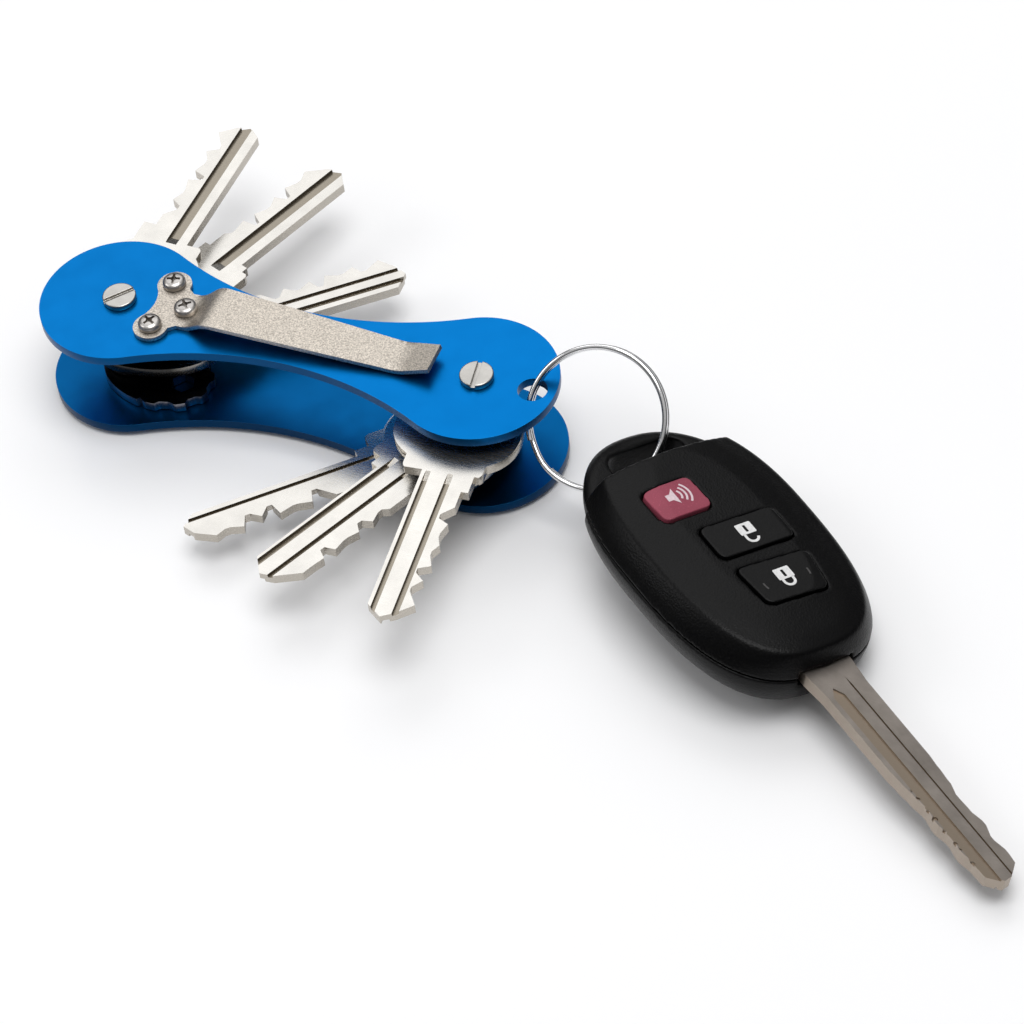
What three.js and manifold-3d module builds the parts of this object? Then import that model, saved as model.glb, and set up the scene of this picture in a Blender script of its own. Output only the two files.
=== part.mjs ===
// Key organiser with six fanned house keys, a split ring and a car key fob.
// Millimetres, +Z up. The pieces are laid out about the point midway between the
// posts on the outer face of the lower plate, with X along the posts. addPart
// then moves them so that the origin is on the left post's foot.
import * as THREE from 'three';
import Module from 'manifold-3d';
import { mergeVertices, toCreasedNormals } from 'three/addons/utils/BufferGeometryUtils.js';

const wasm = await Module();
wasm.setup();

// ---- driving dimensions -------------------------------------------------
const POST_SPACING = 66;
const LOBE_R = 14;
const WAIST_HALF = 6.2;
const PLATE_T = 1.7;
const LEVELS = 7;
const LEAF_T = 1.8;
const POST_R = 2.3;
const POST_HEAD_R = 2.9;
const POST_HEAD_H = 0.98;
const THREAD_R = 1.3;
const RING_HOLE_R = 2.4;
const RING_R = 11.85;
const WIRE_R = 0.5;
const CLIP_T = 0.8;
const CLIP_SCREW_R = 0.9;
const CLIP_SCREW_HEAD_R = 2;
const FOB_HALF_W = 18.2;
const FOB_REAR = 27.5;
const FOB_FRONT = 30.5;
const FOB_SPLIT_H = 7.5;
const BLADE_T = 2.3;
const BUTTON_TRAVEL = 0.8;

// ---- clearances ---------------------------------------------------------
const CONTACT_GAP = 0.1;
const RUNNING_GAP = 0.3;
const LEAF_GAP = 0.34;
const RING_HOLE_WALL = 1.6;

// ---- derived values -----------------------------------------------------
const HALF_SPAN = POST_SPACING / 2;
const PITCH = LEAF_T + LEAF_GAP;
const CLEAR_GAP = LEVELS * PITCH;
const UPPER_Z = PLATE_T + CLEAR_GAP;
const TOP_Z = UPPER_Z + PLATE_T;
const RING_HOLE_X = HALF_SPAN + LOBE_R - RING_HOLE_R - RING_HOLE_WALL;
const POST_HOLE_R = POST_R + RUNNING_GAP;
const SCREW_HOLE_R = CLIP_SCREW_R + RUNNING_GAP;
const BOSS_R = POST_HOLE_R + 1.9;
const FOOT_DEPTH = POST_HEAD_H + CONTACT_GAP;
const levelZ = (level) => UPPER_Z - PITCH * (level - 0.5);

const COLOURS = {
  blue: { color: 0x0a6fc2, roughness: 0.32, metalness: 0.85 },
  steel: { color: 0xc9c9c6, roughness: 0.28, metalness: 1 },
  clip: { color: 0xaaa59c, roughness: 0.5, metalness: 1 },
  key: { color: 0xd5d0c6, roughness: 0.25, metalness: 1 },
  bladeSteel: { color: 0x96918a, roughness: 0.4, metalness: 1 },
  chrome: { color: 0xdedede, roughness: 0.1, metalness: 1 },
  tool: { color: 0x4b4f57, roughness: 0.35, metalness: 1 },
  washer: { color: 0xa9abab, roughness: 0.4, metalness: 1 },
  shell: { color: 0x0b0c0d, roughness: 0.6, metalness: 0 },
  button: { color: 0x101112, roughness: 0.5, metalness: 0 },
  alarm: { color: 0x8f3f54, roughness: 0.45, metalness: 0 },
  rubber: { color: 0x1c1d1e, roughness: 0.8, metalness: 0 },
  board: { color: 0x1d5a35, roughness: 0.5, metalness: 0.1 },
};

// ---- solid helpers ------------------------------------------------------
function solidFromGeometry(geometry) {
  const bare = geometry.clone();
  bare.deleteAttribute('normal');
  bare.deleteAttribute('uv');
  const merged = mergeVertices(bare, 1e-5);
  const index = merged.index.array;
  const kept = [];
  for (let i = 0; i < index.length; i += 3) {
    const [a, b, c] = [index[i], index[i + 1], index[i + 2]];
    if (a !== b && b !== c && a !== c) {
      kept.push(a, b, c);
    }
  }
  return new wasm.Manifold(new wasm.Mesh({
    numProp: 3,
    vertProperties: new Float32Array(merged.attributes.position.array),
    triVerts: new Uint32Array(kept),
  }));
}

// Closed solid through rings of points; every ring has the same point count
// and runs anticlockwise as seen from the end of the stack.
function loft(rings, rise = 0) {
  const count = rings[0].length;
  const points = rings.flat().map((p) => [...p]);
  const triangles = [];
  for (let r = 0; r + 1 < rings.length; r += 1) {
    for (let i = 0; i < count; i += 1) {
      const j = (i + 1) % count;
      const [a, b] = [r * count + i, r * count + j];
      const [c, d] = [a + count, b + count];
      triangles.push(a, b, d, a, d, c);
    }
  }
  [rings[0], rings[rings.length - 1]].forEach((ring, end) => {
    const hub = [0, 1, 2].map((k) => ring.reduce((sum, p) => sum + p[k], 0) / count);
    hub[2] += end === 1 ? rise : 0;
    points.push(hub);
    const base = end * (rings.length - 1) * count;
    for (let i = 0; i < count; i += 1) {
      const [a, b] = [base + i, base + ((i + 1) % count)];
      triangles.push(...(end === 1 ? [a, b, points.length - 1] : [b, a, points.length - 1]));
    }
  });
  return new wasm.Manifold(new wasm.Mesh({
    numProp: 3,
    vertProperties: new Float32Array(points.flat()),
    triVerts: new Uint32Array(triangles),
  }));
}

function circle(radius, z, segments, x = 0, y = 0) {
  return Array.from({ length: segments }, (_, i) => {
    const t = (2 * Math.PI * i) / segments;
    return [x + radius * Math.cos(t), y + radius * Math.sin(t), z];
  });
}

function turned(profile, segments, x = 0, y = 0) {
  return loft(profile.map(([radius, z]) => circle(radius, z, segments, x, y)));
}

function disc(radius, z0, z1, x, y, segments = 24) {
  return turned([[radius, z0], [radius, z1]], segments, x, y);
}

function box(x0, x1, y0, y1, z0, z1) {
  const ring = (z) => [[x0, y0, z], [x1, y0, z], [x1, y1, z], [x0, y1, z]];
  return loft([ring(z0), ring(z1)]);
}

function prism(points, z0, z1) {
  const shape = new THREE.Shape(points.map(([x, y]) => new THREE.Vector2(x, y)));
  const geometry = new THREE.ExtrudeGeometry(shape, { depth: z1 - z0, bevelEnabled: false });
  geometry.translate(0, 0, z0);
  return solidFromGeometry(geometry);
}

function arc(cx, cy, radius, from, to, segments) {
  return Array.from({ length: segments + 1 }, (_, i) => {
    const t = from + ((to - from) * i) / segments;
    return [cx + radius * Math.cos(t), cy + radius * Math.sin(t)];
  });
}

function roundedPolygon(corners, radius, segments = 4) {
  return corners.flatMap((corner, i) => {
    const towards = [corners.at(i - 1), corners[(i + 1) % corners.length]].map((other) => {
      const length = Math.hypot(other[0] - corner[0], other[1] - corner[1]);
      return other.map((v, k) => corner[k] + ((v - corner[k]) * radius) / length);
    });
    return Array.from({ length: segments + 1 }, (_, s) => {
      const t = s / segments;
      return [0, 1].map((k) => (1 - t) ** 2 * towards[0][k] + 2 * t * (1 - t) * corner[k]
        + t ** 2 * towards[1][k]);
    });
  });
}

const parts = new THREE.Group();
parts.name = 'key_organiser';

function addPart(name, solid, look, placement) {
  const mesh = solid.getMesh();
  const geometry = new THREE.BufferGeometry();
  const properties = mesh.vertProperties;
  geometry.setAttribute('position', new THREE.BufferAttribute(new Float32Array(properties), 3));
  geometry.setIndex(Array.from(mesh.triVerts));
  if (placement) {
    geometry.applyMatrix4(placement);
  }
  geometry.translate(HALF_SPAN, 0, FOOT_DEPTH);
  const part = new THREE.Mesh(
    toCreasedNormals(geometry, 0.55),
    new THREE.MeshStandardMaterial({ ...look }),
  );
  part.name = name;
  parts.add(part);
}

// ---- plates -------------------------------------------------------------
function plateOutline() {
  const waistR = (HALF_SPAN ** 2 + WAIST_HALF ** 2 - LOBE_R ** 2) / (2 * (LOBE_R - WAIST_HALF));
  const waistY = WAIST_HALF + waistR;
  const blend = Math.atan2(waistY, -HALF_SPAN);
  const sweep = Math.atan2(waistY, HALF_SPAN);
  const lobe = (side, from, to) => arc(side * HALF_SPAN, 0, LOBE_R, from, to, 30);
  const waist = (side, from, to) => arc(0, side * waistY, waistR, from, to, 10).slice(1, -1);
  return [
    ...lobe(1, -blend, blend),
    ...waist(1, -sweep, sweep - Math.PI),
    ...lobe(-1, Math.PI - blend, Math.PI + blend),
    ...waist(-1, blend, sweep),
  ];
}

// The clip's pads stand clear of the left post; its free end stops short of the right one.
const PAD_X = -HALF_SPAN + POST_HEAD_R + CLIP_SCREW_HEAD_R + 3.3;
const NECK_X = PAD_X + 4.4;
const TIP_X = HALF_SPAN - POST_HEAD_R - 4.4;
const CLIP_SCREWS = [[PAD_X, 5.1], [NECK_X, 0], [PAD_X, -5.1]];

function plate(z, extraHoles) {
  const edge = 0.25;
  const shape = new THREE.Shape(plateOutline().map(([x, y]) => new THREE.Vector2(x, y)));
  const posts = [[-HALF_SPAN, 0, POST_HOLE_R], [HALF_SPAN, 0, POST_HOLE_R]];
  [...posts, ...extraHoles].forEach(([x, y, radius]) => {
    const rim = arc(x, y, radius, 0, 2 * Math.PI, 20).slice(0, -1);
    shape.holes.push(new THREE.Path(rim.map(([u, v]) => new THREE.Vector2(u, v))));
  });
  const geometry = new THREE.ExtrudeGeometry(shape, {
    depth: PLATE_T - 2 * edge,
    bevelEnabled: true,
    bevelThickness: edge,
    bevelSize: edge,
    bevelOffset: -edge,
    bevelSegments: 1,
  });
  geometry.translate(0, 0, z + edge);
  return solidFromGeometry(geometry);
}

addPart('plate_lower', plate(0, []), COLOURS.blue);
addPart('plate_upper', plate(UPPER_Z, [
  [RING_HOLE_X, 0, RING_HOLE_R],
  ...CLIP_SCREWS.map(([x, y]) => [x, y, SCREW_HOLE_R]),
]), COLOURS.blue);

// ---- posts --------------------------------------------------------------
function slotCut(x, z0, z1, angle) {
  return box(-4, 4, -0.42, 0.42, z0, z1).rotate([0, 0, angle]).translate([x, 0, 0]);
}

function postBarrel(x) {
  const top = TOP_Z - CONTACT_GAP;
  const headTop = -CONTACT_GAP;
  const headLow = -FOOT_DEPTH;
  const body = turned([
    [POST_HEAD_R - 0.35, headLow], [POST_HEAD_R, headLow + 0.35],
    [POST_HEAD_R, headTop], [POST_R, headTop], [POST_R, top],
  ], 28, x);
  const bore = disc(THREAD_R + RUNNING_GAP, TOP_Z - 11, TOP_Z + 1, x, 0, 20);
  return body.subtract(bore);
}

function postScrew(x, slotAngle) {
  const headLow = TOP_Z + CONTACT_GAP;
  const headTop = headLow + POST_HEAD_H;
  const body = turned([
    [THREAD_R - 0.3, TOP_Z - 10.2], [THREAD_R, TOP_Z - 9.8], [THREAD_R, headLow],
    [POST_HEAD_R, headLow], [POST_HEAD_R, headTop - 0.35], [POST_HEAD_R - 0.35, headTop],
  ], 28, x);
  return body.subtract(slotCut(x, headTop - 0.45, headTop + 1, slotAngle));
}

[['left', -1, 20], ['right', 1, 92]].forEach(([side, sign, slotAngle]) => {
  const x = sign * HALF_SPAN;
  addPart(`post_barrel_${side}`, postBarrel(x), COLOURS.steel);
  addPart(`post_screw_${side}`, postScrew(x, slotAngle), COLOURS.steel);
});

// ---- spacer washers -----------------------------------------------------
function washer(x, level) {
  const z = levelZ(level);
  const [low, high] = [z - LEAF_T / 2, z + LEAF_T / 2];
  return disc(BOSS_R, low, high, x, 0, 28).subtract(disc(POST_HOLE_R, low - 1, high + 1, x, 0));
}

[[2, 4, 6], [1, 3, 5, 7]].forEach((levels, i) => {
  const side = ['left', 'right'][i];
  levels.forEach((level, k) => {
    const x = (2 * i - 1) * HALF_SPAN;
    addPart(`washer_${side}_${k + 1}`, washer(x, level), COLOURS.washer);
  });
});

// ---- pocket clip --------------------------------------------------------
function ribbon(path, thickness) {
  const normals = path.map((p, i) => {
    const [a, b] = [path[Math.max(i - 1, 0)], path[Math.min(i + 1, path.length - 1)]];
    const unit = (u, v) => {
      const length = Math.hypot(v[0] - u[0], v[1] - u[1]) || 1;
      return [(v[0] - u[0]) / length, (v[1] - u[1]) / length];
    };
    const [before, after] = [unit(a, p), unit(p, b)];
    const sum = [before[0] + after[0], before[1] + after[1]];
    const length = Math.hypot(...sum);
    const along = sum.map((v) => v / length);
    const ends = i === 0 || i === path.length - 1;
    const stretch = ends ? 1 : 1 / (along[0] * after[0] + along[1] * after[1]);
    return [along[1] * stretch, -along[0] * stretch];
  });
  const under = path.map((p, i) => p.map((v, k) => v + normals[i][k] * thickness));
  return [...under, ...[...path].reverse()];
}

function pocketClip() {
  const base = TOP_Z + CONTACT_GAP;
  const top = base + CLIP_T;
  const profile = ribbon([
    [PAD_X - 15, top], [NECK_X + 1.7, top], [NECK_X + 2.2, top + 0.15],
    [NECK_X + 5, base + 3.2], [NECK_X + 5.8, base + 3.4], [TIP_X - 7.1, base + 1.0],
    [TIP_X - 5.5, base + 0.95], [TIP_X - 4.3, base + 1.15], [TIP_X - 0.1, base + 2.65],
  ], CLIP_T);
  const side = prism(profile, -12, 12).rotate([90, 0, 0]);
  const padR = 3;
  const pads = wasm.Manifold.hull(CLIP_SCREWS.map(([x, y]) => disc(padR, base - 1, top + 1, x, y)));
  const plan = prism([
    [PAD_X + 2.3, -5.4], [NECK_X + 1.8, -4.2], [NECK_X + 5.8, -4.6], [TIP_X - 5.5, -3.4],
    [TIP_X - 0.5, -3.3], [TIP_X, -2.8], [TIP_X, 2.8], [TIP_X - 0.5, 3.3],
    [TIP_X - 5.5, 3.4], [NECK_X + 5.8, 4.6], [NECK_X + 1.8, 4.2], [PAD_X + 2.3, 5.4],
  ], base - 1, TOP_Z + 6);
  let clip = pads.add(plan).intersect(side);
  clip = clip.subtract(disc(POST_HEAD_R + 4, base - 1, top + 1, -HALF_SPAN, 0, 36));
  CLIP_SCREWS.forEach(([x, y]) => {
    clip = clip.subtract(disc(SCREW_HOLE_R, base - 1, top + 1, x, y, 20));
  });
  return clip;
}

function clipScrew(x, y, turn) {
  const seat = TOP_Z + 2 * CONTACT_GAP + CLIP_T;
  const crown = seat + 1.4;
  const body = turned([
    [CLIP_SCREW_R - 0.2, UPPER_Z + 0.1], [CLIP_SCREW_R, UPPER_Z + 0.3], [CLIP_SCREW_R, seat],
    [CLIP_SCREW_HEAD_R, seat], [CLIP_SCREW_HEAD_R, seat + 0.7],
    [CLIP_SCREW_HEAD_R - 0.25, seat + 1.1], [CLIP_SCREW_HEAD_R - 0.8, crown],
  ], 20);
  const arms = [0, 90].map((angle) => (
    box(-1.05, 1.05, -0.28, 0.28, crown - 0.8, crown + 1).rotate([0, 0, angle])));
  return body.subtract(arms[0].add(arms[1])).rotate([0, 0, turn]).translate([x, y, 0]);
}

addPart('pocket_clip', pocketClip(), COLOURS.clip);
CLIP_SCREWS.forEach(([x, y], i) => {
  addPart(`clip_screw_${i + 1}`, clipScrew(x, y, [15, 40, 62][i]), COLOURS.steel);
});

// ---- keys ---------------------------------------------------------------
// A key lies along its own +X with the post hole at the origin, its spine on
// the -Y side and its cuts on the +Y side.
const KEYS = {
  key_a: {
    side: -1, level: 1, angle: 87.7, reach: 47.6, spine: -4.1, edge: 3.4,
    bow: [11.5, 9.2, 9.2], shoulder: [17, -7.1, 5.7], stop: [20, 1.8, 5.7],
    cuts: [2.2, 1.4, 2.8, 1.0, 1.9], top: [[-2.2, -0.2]], bottom: [[0.9, 1.9]],
  },
  key_b: {
    side: -1, level: 3, angle: 68.1, reach: 50.1, spine: -5.7, edge: 2.3,
    bow: [12.6, 9.4, 9.4], shoulder: [21.4, -8.4, 3.4], stop: [22.6, -7, 3.4],
    cuts: [1.2, 2.6, 1.6, 2.9, 0.9], top: [[-3, -0.6]], bottom: [[-1.6, -0.6]],
  },
  key_c: {
    side: -1, level: 5, angle: 39.5, reach: 49.2, spine: -6.1, edge: 1.9,
    bow: [11.8, 9.6, 9.6], shoulder: [19, -8.3, 5.2], stop: [21, -7.4, 4.2],
    cuts: [1.8, 1.0, 2.4, 1.6, 2.1], top: [[-5.6, -4.9], [-2.3, -1.6]], bottom: [[-3.9, -2.9]],
  },
  key_f: {
    side: 1, level: 2, angle: -85.1, reach: 50.2, spine: -4.4, edge: 3.4,
    bow: [11.6, 9.4, 11.6], shoulder: [18.2, -8, 5.8], stop: [21.8, 0.8, 4.6],
    cuts: [1.9, 2.1, 0.9, 0.7, 1.9], top: [[-3.9, -3.1], [0.1, 1]], bottom: [[-1.5, -0.4]],
  },
  key_e: {
    side: 1, level: 4, angle: -115.6, reach: 49.2, spine: -3.8, edge: 4.8,
    bow: [11.8, 10.2, 10.2], shoulder: [18.4, -7.4, 7], stop: [20.4, -5.2, 5.6],
    cuts: [0.2, 1.8, 0.5, 1.6, 0.9], top: [[-3.4, -2.2], [0.6, 1.3]], bottom: [[-1.1, 0]],
  },
  key_d: {
    side: 1, level: 6, angle: -137.5, reach: 53.4, spine: -3.6, edge: 3,
    bow: [11.8, 10.4, 10.4], shoulder: [19, -7.6, 6.4], stop: [21.6, -5, 4.2],
    cuts: [0.9, 2.3, 2.6, 0.9, 2.7], top: [[-2.6, -2]], bottom: [[-0.6, 0.4]],
  },
};
const BOW_BACK = 6;
const CUT_PITCH = 4;
const CUT_FLAT = 0.45;
const GROOVE_DEPTH = 0.55;

function bowOutline([half, upperHalf, lowerHalf]) {
  const flare = 0.3;
  return Array.from({ length: 36 }, (_, i) => {
    const t = (2 * Math.PI * i) / 36;
    const width = Math.sin(t) > 0 ? upperHalf : lowerHalf;
    const x = half - BOW_BACK + half * Math.cos(t);
    return [x, width * Math.sin(t) * (1 + flare * Math.cos(t))];
  });
}

// Cuts run from the tip back towards the bow; neighbouring cuts meet in a
// peak on 45 degree flanks, never higher than the blade's own edge.
function bladeOutline(key) {
  const { reach, spine, edge, cuts } = key;
  const middle = (spine + edge) / 2;
  const outline = [[8, spine], [reach - 2.2, spine], [reach, middle - 1.2], [reach - 1.2, middle + 1]];
  const firstCut = reach - 6.6;
  cuts.forEach((depth, i) => {
    const x = firstCut - CUT_PITCH * i;
    const previous = i === 0 ? null : cuts[i - 1];
    if (previous === null) {
      outline.push([x + CUT_FLAT + Math.max(depth, 0.4) + 0.8, edge - 0.2]);
    } else {
      const peak = -(previous + depth) / 2 + (CUT_PITCH - 2 * CUT_FLAT) / 2;
      outline.push([x + CUT_PITCH / 2 + (previous - depth) / 2, edge + Math.min(peak, -0.05)]);
    }
    outline.push([x + CUT_FLAT, edge - depth], [x - CUT_FLAT, edge - depth]);
  });
  const last = cuts[cuts.length - 1];
  const end = firstCut - CUT_PITCH * (cuts.length - 1) - CUT_FLAT - last;
  return [...outline, [end, edge], [8, edge]];
}

function houseKey(key) {
  const [low, high] = [-LEAF_T / 2, LEAF_T / 2];
  const [shoulderX, shoulderLow, shoulderHigh] = key.shoulder;
  const [stopX, stopLow, stopHigh] = key.stop;
  const grooveStart = stopX - 2.4;
  let solid = prism(bowOutline(key.bow), low, high)
    .add(prism(bladeOutline(key), low, high))
    .add(prism(roundedPolygon([
      [8, shoulderLow], [shoulderX, shoulderLow], [shoulderX, shoulderHigh], [8, shoulderHigh],
    ], 0.8), low, high))
    .add(box(10, stopX, stopLow, stopHigh, low, high))
    .subtract(disc(POST_HOLE_R, low - 1, high + 1, 0, 0));
  const groove = (sign) => ([y0, y1]) => {
    const floor = sign * (LEAF_T / 2 - GROOVE_DEPTH);
    const [z0, z1] = sign > 0 ? [floor, high + 1] : [low - 1, floor];
    solid = solid.subtract(box(grooveStart, key.reach + 2, y0, y1, z0, z1));
  };
  key.top.forEach(groove(1));
  key.bottom.forEach(groove(-1));
  return solid.rotate([0, 0, key.angle])
    .translate([key.side * HALF_SPAN, 0, levelZ(key.level)]);
}

Object.entries(KEYS).forEach(([name, key]) => addPart(name, houseKey(key), COLOURS.key));

// ---- stowed tool leaf ---------------------------------------------------
function toolLeaf() {
  const [low, high] = [-LEAF_T / 2, LEAF_T / 2];
  const outer = Array.from({ length: 44 }, (_, i) => {
    const t = (2 * Math.PI * i) / 44;
    const step = Math.cos(t) > 0.1 && i % 4 < 2 ? 0.7 : 0;
    return [5.6 + (10.6 - step) * Math.cos(t), (7.6 - step) * Math.sin(t)];
  });
  const hex = arc(11.2, -0.6, 2.2, 0, 2 * Math.PI, 6).slice(0, -1);
  return prism(outer, low, high)
    .subtract(prism(hex, low - 1, high + 1))
    .subtract(disc(POST_HOLE_R, low - 1, high + 1, 0, 0))
    .rotate([0, 0, -12])
    .translate([-HALF_SPAN, 0, levelZ(7)]);
}

addPart('tool_leaf', toolLeaf(), COLOURS.tool);

// ---- split ring ---------------------------------------------------------
// Two turns of one wire lying against each other, threaded through the hole.
function ringFrame() {
  const tilt = new THREE.Vector3(0.017, -0.694, 0.719).normalize();
  const flat = new THREE.Vector3(1, 0, 0).projectOnPlane(tilt).normalize();
  const rising = new THREE.Vector3().crossVectors(tilt, flat);
  const lean = -0.156;
  const away = new THREE.Vector3().addScaledVector(flat, Math.sqrt(1 - lean ** 2))
    .addScaledVector(rising, lean);
  const hole = new THREE.Vector3(RING_HOLE_X, 0, TOP_Z - PLATE_T / 2);
  const centre = hole.clone().addScaledVector(away, RING_R);
  const farSide = hole.clone().addScaledVector(away, 2 * RING_R);
  return { tilt, flat, rising, centre, farSide };
}

function splitRing() {
  const { tilt, flat, rising, centre } = ringFrame();
  const coilStep = 2 * WIRE_R + 0.08;
  const [start, crossing] = [THREE.MathUtils.degToRad(238), 0.5];
  const length = 4 * Math.PI - crossing;
  const stations = 104;
  const section = 8;
  const rings = [];
  for (let i = 0; i <= stations; i += 1) {
    const turn = (length * i) / stations;
    const blend = THREE.MathUtils.smoothstep(turn, 2 * Math.PI - crossing, 2 * Math.PI);
    const offset = coilStep * (blend - 0.5);
    const out = new THREE.Vector3().addScaledVector(flat, Math.cos(start + turn))
      .addScaledVector(rising, Math.sin(start + turn));
    const middle = centre.clone().addScaledVector(out, RING_R).addScaledVector(tilt, offset);
    rings.push(Array.from({ length: section }, (_, k) => {
      const t = (-2 * Math.PI * (k + 0.5)) / section;
      return middle.clone().addScaledVector(out, WIRE_R * Math.cos(t))
        .addScaledVector(tilt, WIRE_R * Math.sin(t)).toArray();
    }));
  }
  return loft(rings);
}

addPart('split_ring', splitRing(), COLOURS.chrome);

// ---- car key fob --------------------------------------------------------
// Built flat in its own frame: +X along the blade from the mouth of the head,
// z = 0 at the bottom of the head. It then hangs on the ring's far side, lying tipped.
function fobPlacement() {
  const [yaw, pitch, roll] = [-36.83, 5, -14].map(THREE.MathUtils.degToRad);
  const along = new THREE.Vector3(
    Math.cos(yaw) * Math.cos(pitch),
    Math.sin(yaw) * Math.cos(pitch),
    -Math.sin(pitch),
  );
  const across = new THREE.Vector3(-Math.sin(yaw), Math.cos(yaw), 0);
  const up = new THREE.Vector3().crossVectors(along, across);
  const side = across.multiplyScalar(Math.cos(roll)).addScaledVector(up, Math.sin(roll));
  const normal = new THREE.Vector3().crossVectors(along, side);
  const mouth = ringFrame().farSide.add(new THREE.Vector3(37.43, -33.44, -14.3));
  return new THREE.Matrix4().makeBasis(along, side, normal).setPosition(mouth);
}

const FOB = fobPlacement();
const FOB_WAIST_X = 0.5 - FOB_FRONT;

function fobRing(h, side, front, rear, power = 0) {
  const count = 48;
  return Array.from({ length: count }, (_, i) => {
    const t = (2 * Math.PI * (i + 0.5)) / count;
    const [c, s] = [Math.cos(t), Math.sin(t)];
    const length = c > 0 ? FOB_FRONT - front : FOB_REAR - rear;
    const n = power || (c > 0 ? 2.75 : 2.3);
    const bend = (v) => Math.sign(v) * Math.abs(v) ** (2 / n);
    return [FOB_WAIST_X + length * bend(c), (FOB_HALF_W - side) * bend(s) + 0.2 * c - 0.35, h];
  });
}

function fobStack(levels, rise, power) {
  return loft(levels.map(([h, side, front, rear]) => fobRing(h, side, front, rear, power)), rise);
}

const TOP_LEVELS = [
  [9.6, 1.0, 0.3, 1.0], [11.4, 2.6, 0.9, 2.2], [12.6, 4.4, 1.9, 3.6],
  [13.3, 6.6, 4.6, 6], [13.9, 10.5, 10.5, 11],
];
const CAVITY = fobStack([
  [1.8, 6.0, 9.6, 13.4], [5, 3.0, 9.6, 12.6], [8.5, 2.9, 9.6, 12.6], [11.6, 5.0, 9.6, 12.6],
], 0, 4);
const BLADE_HALF = 4;
const BLADE_POCKET = box(-13, 3, -5.2, 5.2, FOB_SPLIT_H - 1.5, FOB_SPLIT_H + 1.5);
const LOOP_X = -47.4;
const LOOP_INSET = 0.6;
const SLOT = prism(roundedPolygon([
  [-54, -7.6], [LOOP_X + 0.3, -7.6], [LOOP_X + 0.3, 7.2], [-54, 7.2],
], 3.1, 5), -2, 12);

function fobLowerShell() {
  const levels = [[0, 6, 4, 6], [0.7, 4.0, 2.4, 4], [2.4, 1.6, 0.8, 1.6], [5, 0.3, 0.1, 0.3]];
  const shoulder = LOOP_X + 2;
  const tray = fobStack([...levels, [FOB_SPLIT_H - 0.15, 0, 0, 0]])
    .subtract(box(-70, shoulder, -30, 30, -1, 20));
  const rim = fobStack([...levels, [7.35, 0.2, 0, 0.2]].map(([h, side, ...ends]) => (
    [h, side + LOOP_INSET, ...ends]))).intersect(box(-70, shoulder + 1, -30, 30, 0, 20));
  const crest = fobStack([
    [5, 0.3, 0.1, 0.3], [7.4, 0.2, 0, 0.2], [8.1, 0.7, 0, 0.8], [8.4, 1.5, 0, 1.6],
  ].map(([h, side, ...ends]) => [h, side + LOOP_INSET, ...ends]))
    .intersect(box(-70, LOOP_X, -30, 30, 0, 20));
  const loop = rim.add(crest);
  return tray.add(loop)
    .subtract(box(-70, -49.4, -30, 30, -1, 3))
    .subtract(SLOT)
    .subtract(CAVITY)
    .subtract(BLADE_POCKET);
}

const BUTTONS = {
  fob_button_alarm: {
    corners: [[-40.3, -10.2], [-33.2, -9.9], [-33.2, -0.7], [-40.5, -1.1]], look: COLOURS.alarm,
  },
  fob_button_unlock: {
    corners: [[-29.5, -6.3], [-22.3, -6.2], [-22.1, 8.1], [-29.1, 8.0]], look: COLOURS.button,
  },
  fob_button_lock: {
    corners: [[-19.6, -5.7], [-11.0, -4.9], [-10.4, 6.6], [-18.7, 7.8]], look: COLOURS.button,
  },
};

function grow(corners, amount) {
  const middle = [0, 1].map((k) => corners.reduce((sum, p) => sum + p[k], 0) / corners.length);
  return corners.map((p) => p.map((v, k) => v + Math.sign(v - middle[k]) * amount));
}

function fobUpperShell() {
  let shell = fobStack([[FOB_SPLIT_H + 0.15, 0, 0, 0], ...TOP_LEVELS], 0.35)
    .subtract(box(-70, LOOP_X + 0.3, -30, 30, 0, 20))
    .subtract(CAVITY)
    .subtract(BLADE_POCKET);
  Object.values(BUTTONS).forEach(({ corners }) => {
    shell = shell.subtract(prism(roundedPolygon(grow(corners, 0.2), 1.7), 10, 20));
  });
  return shell;
}

function fobButton(corners) {
  const proud = 0.35;
  const skin = fobStack(
    [[5, 0, 0, 0], ...TOP_LEVELS.map(([h, ...rest]) => [h + proud, ...rest])],
    0.35,
  );
  const cap = prism(roundedPolygon(corners, 1.5), 11.2, 20).intersect(skin);
  return cap.add(prism(roundedPolygon(grow(corners, 0.7), 1.5), 10.6, 11.3));
}

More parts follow.
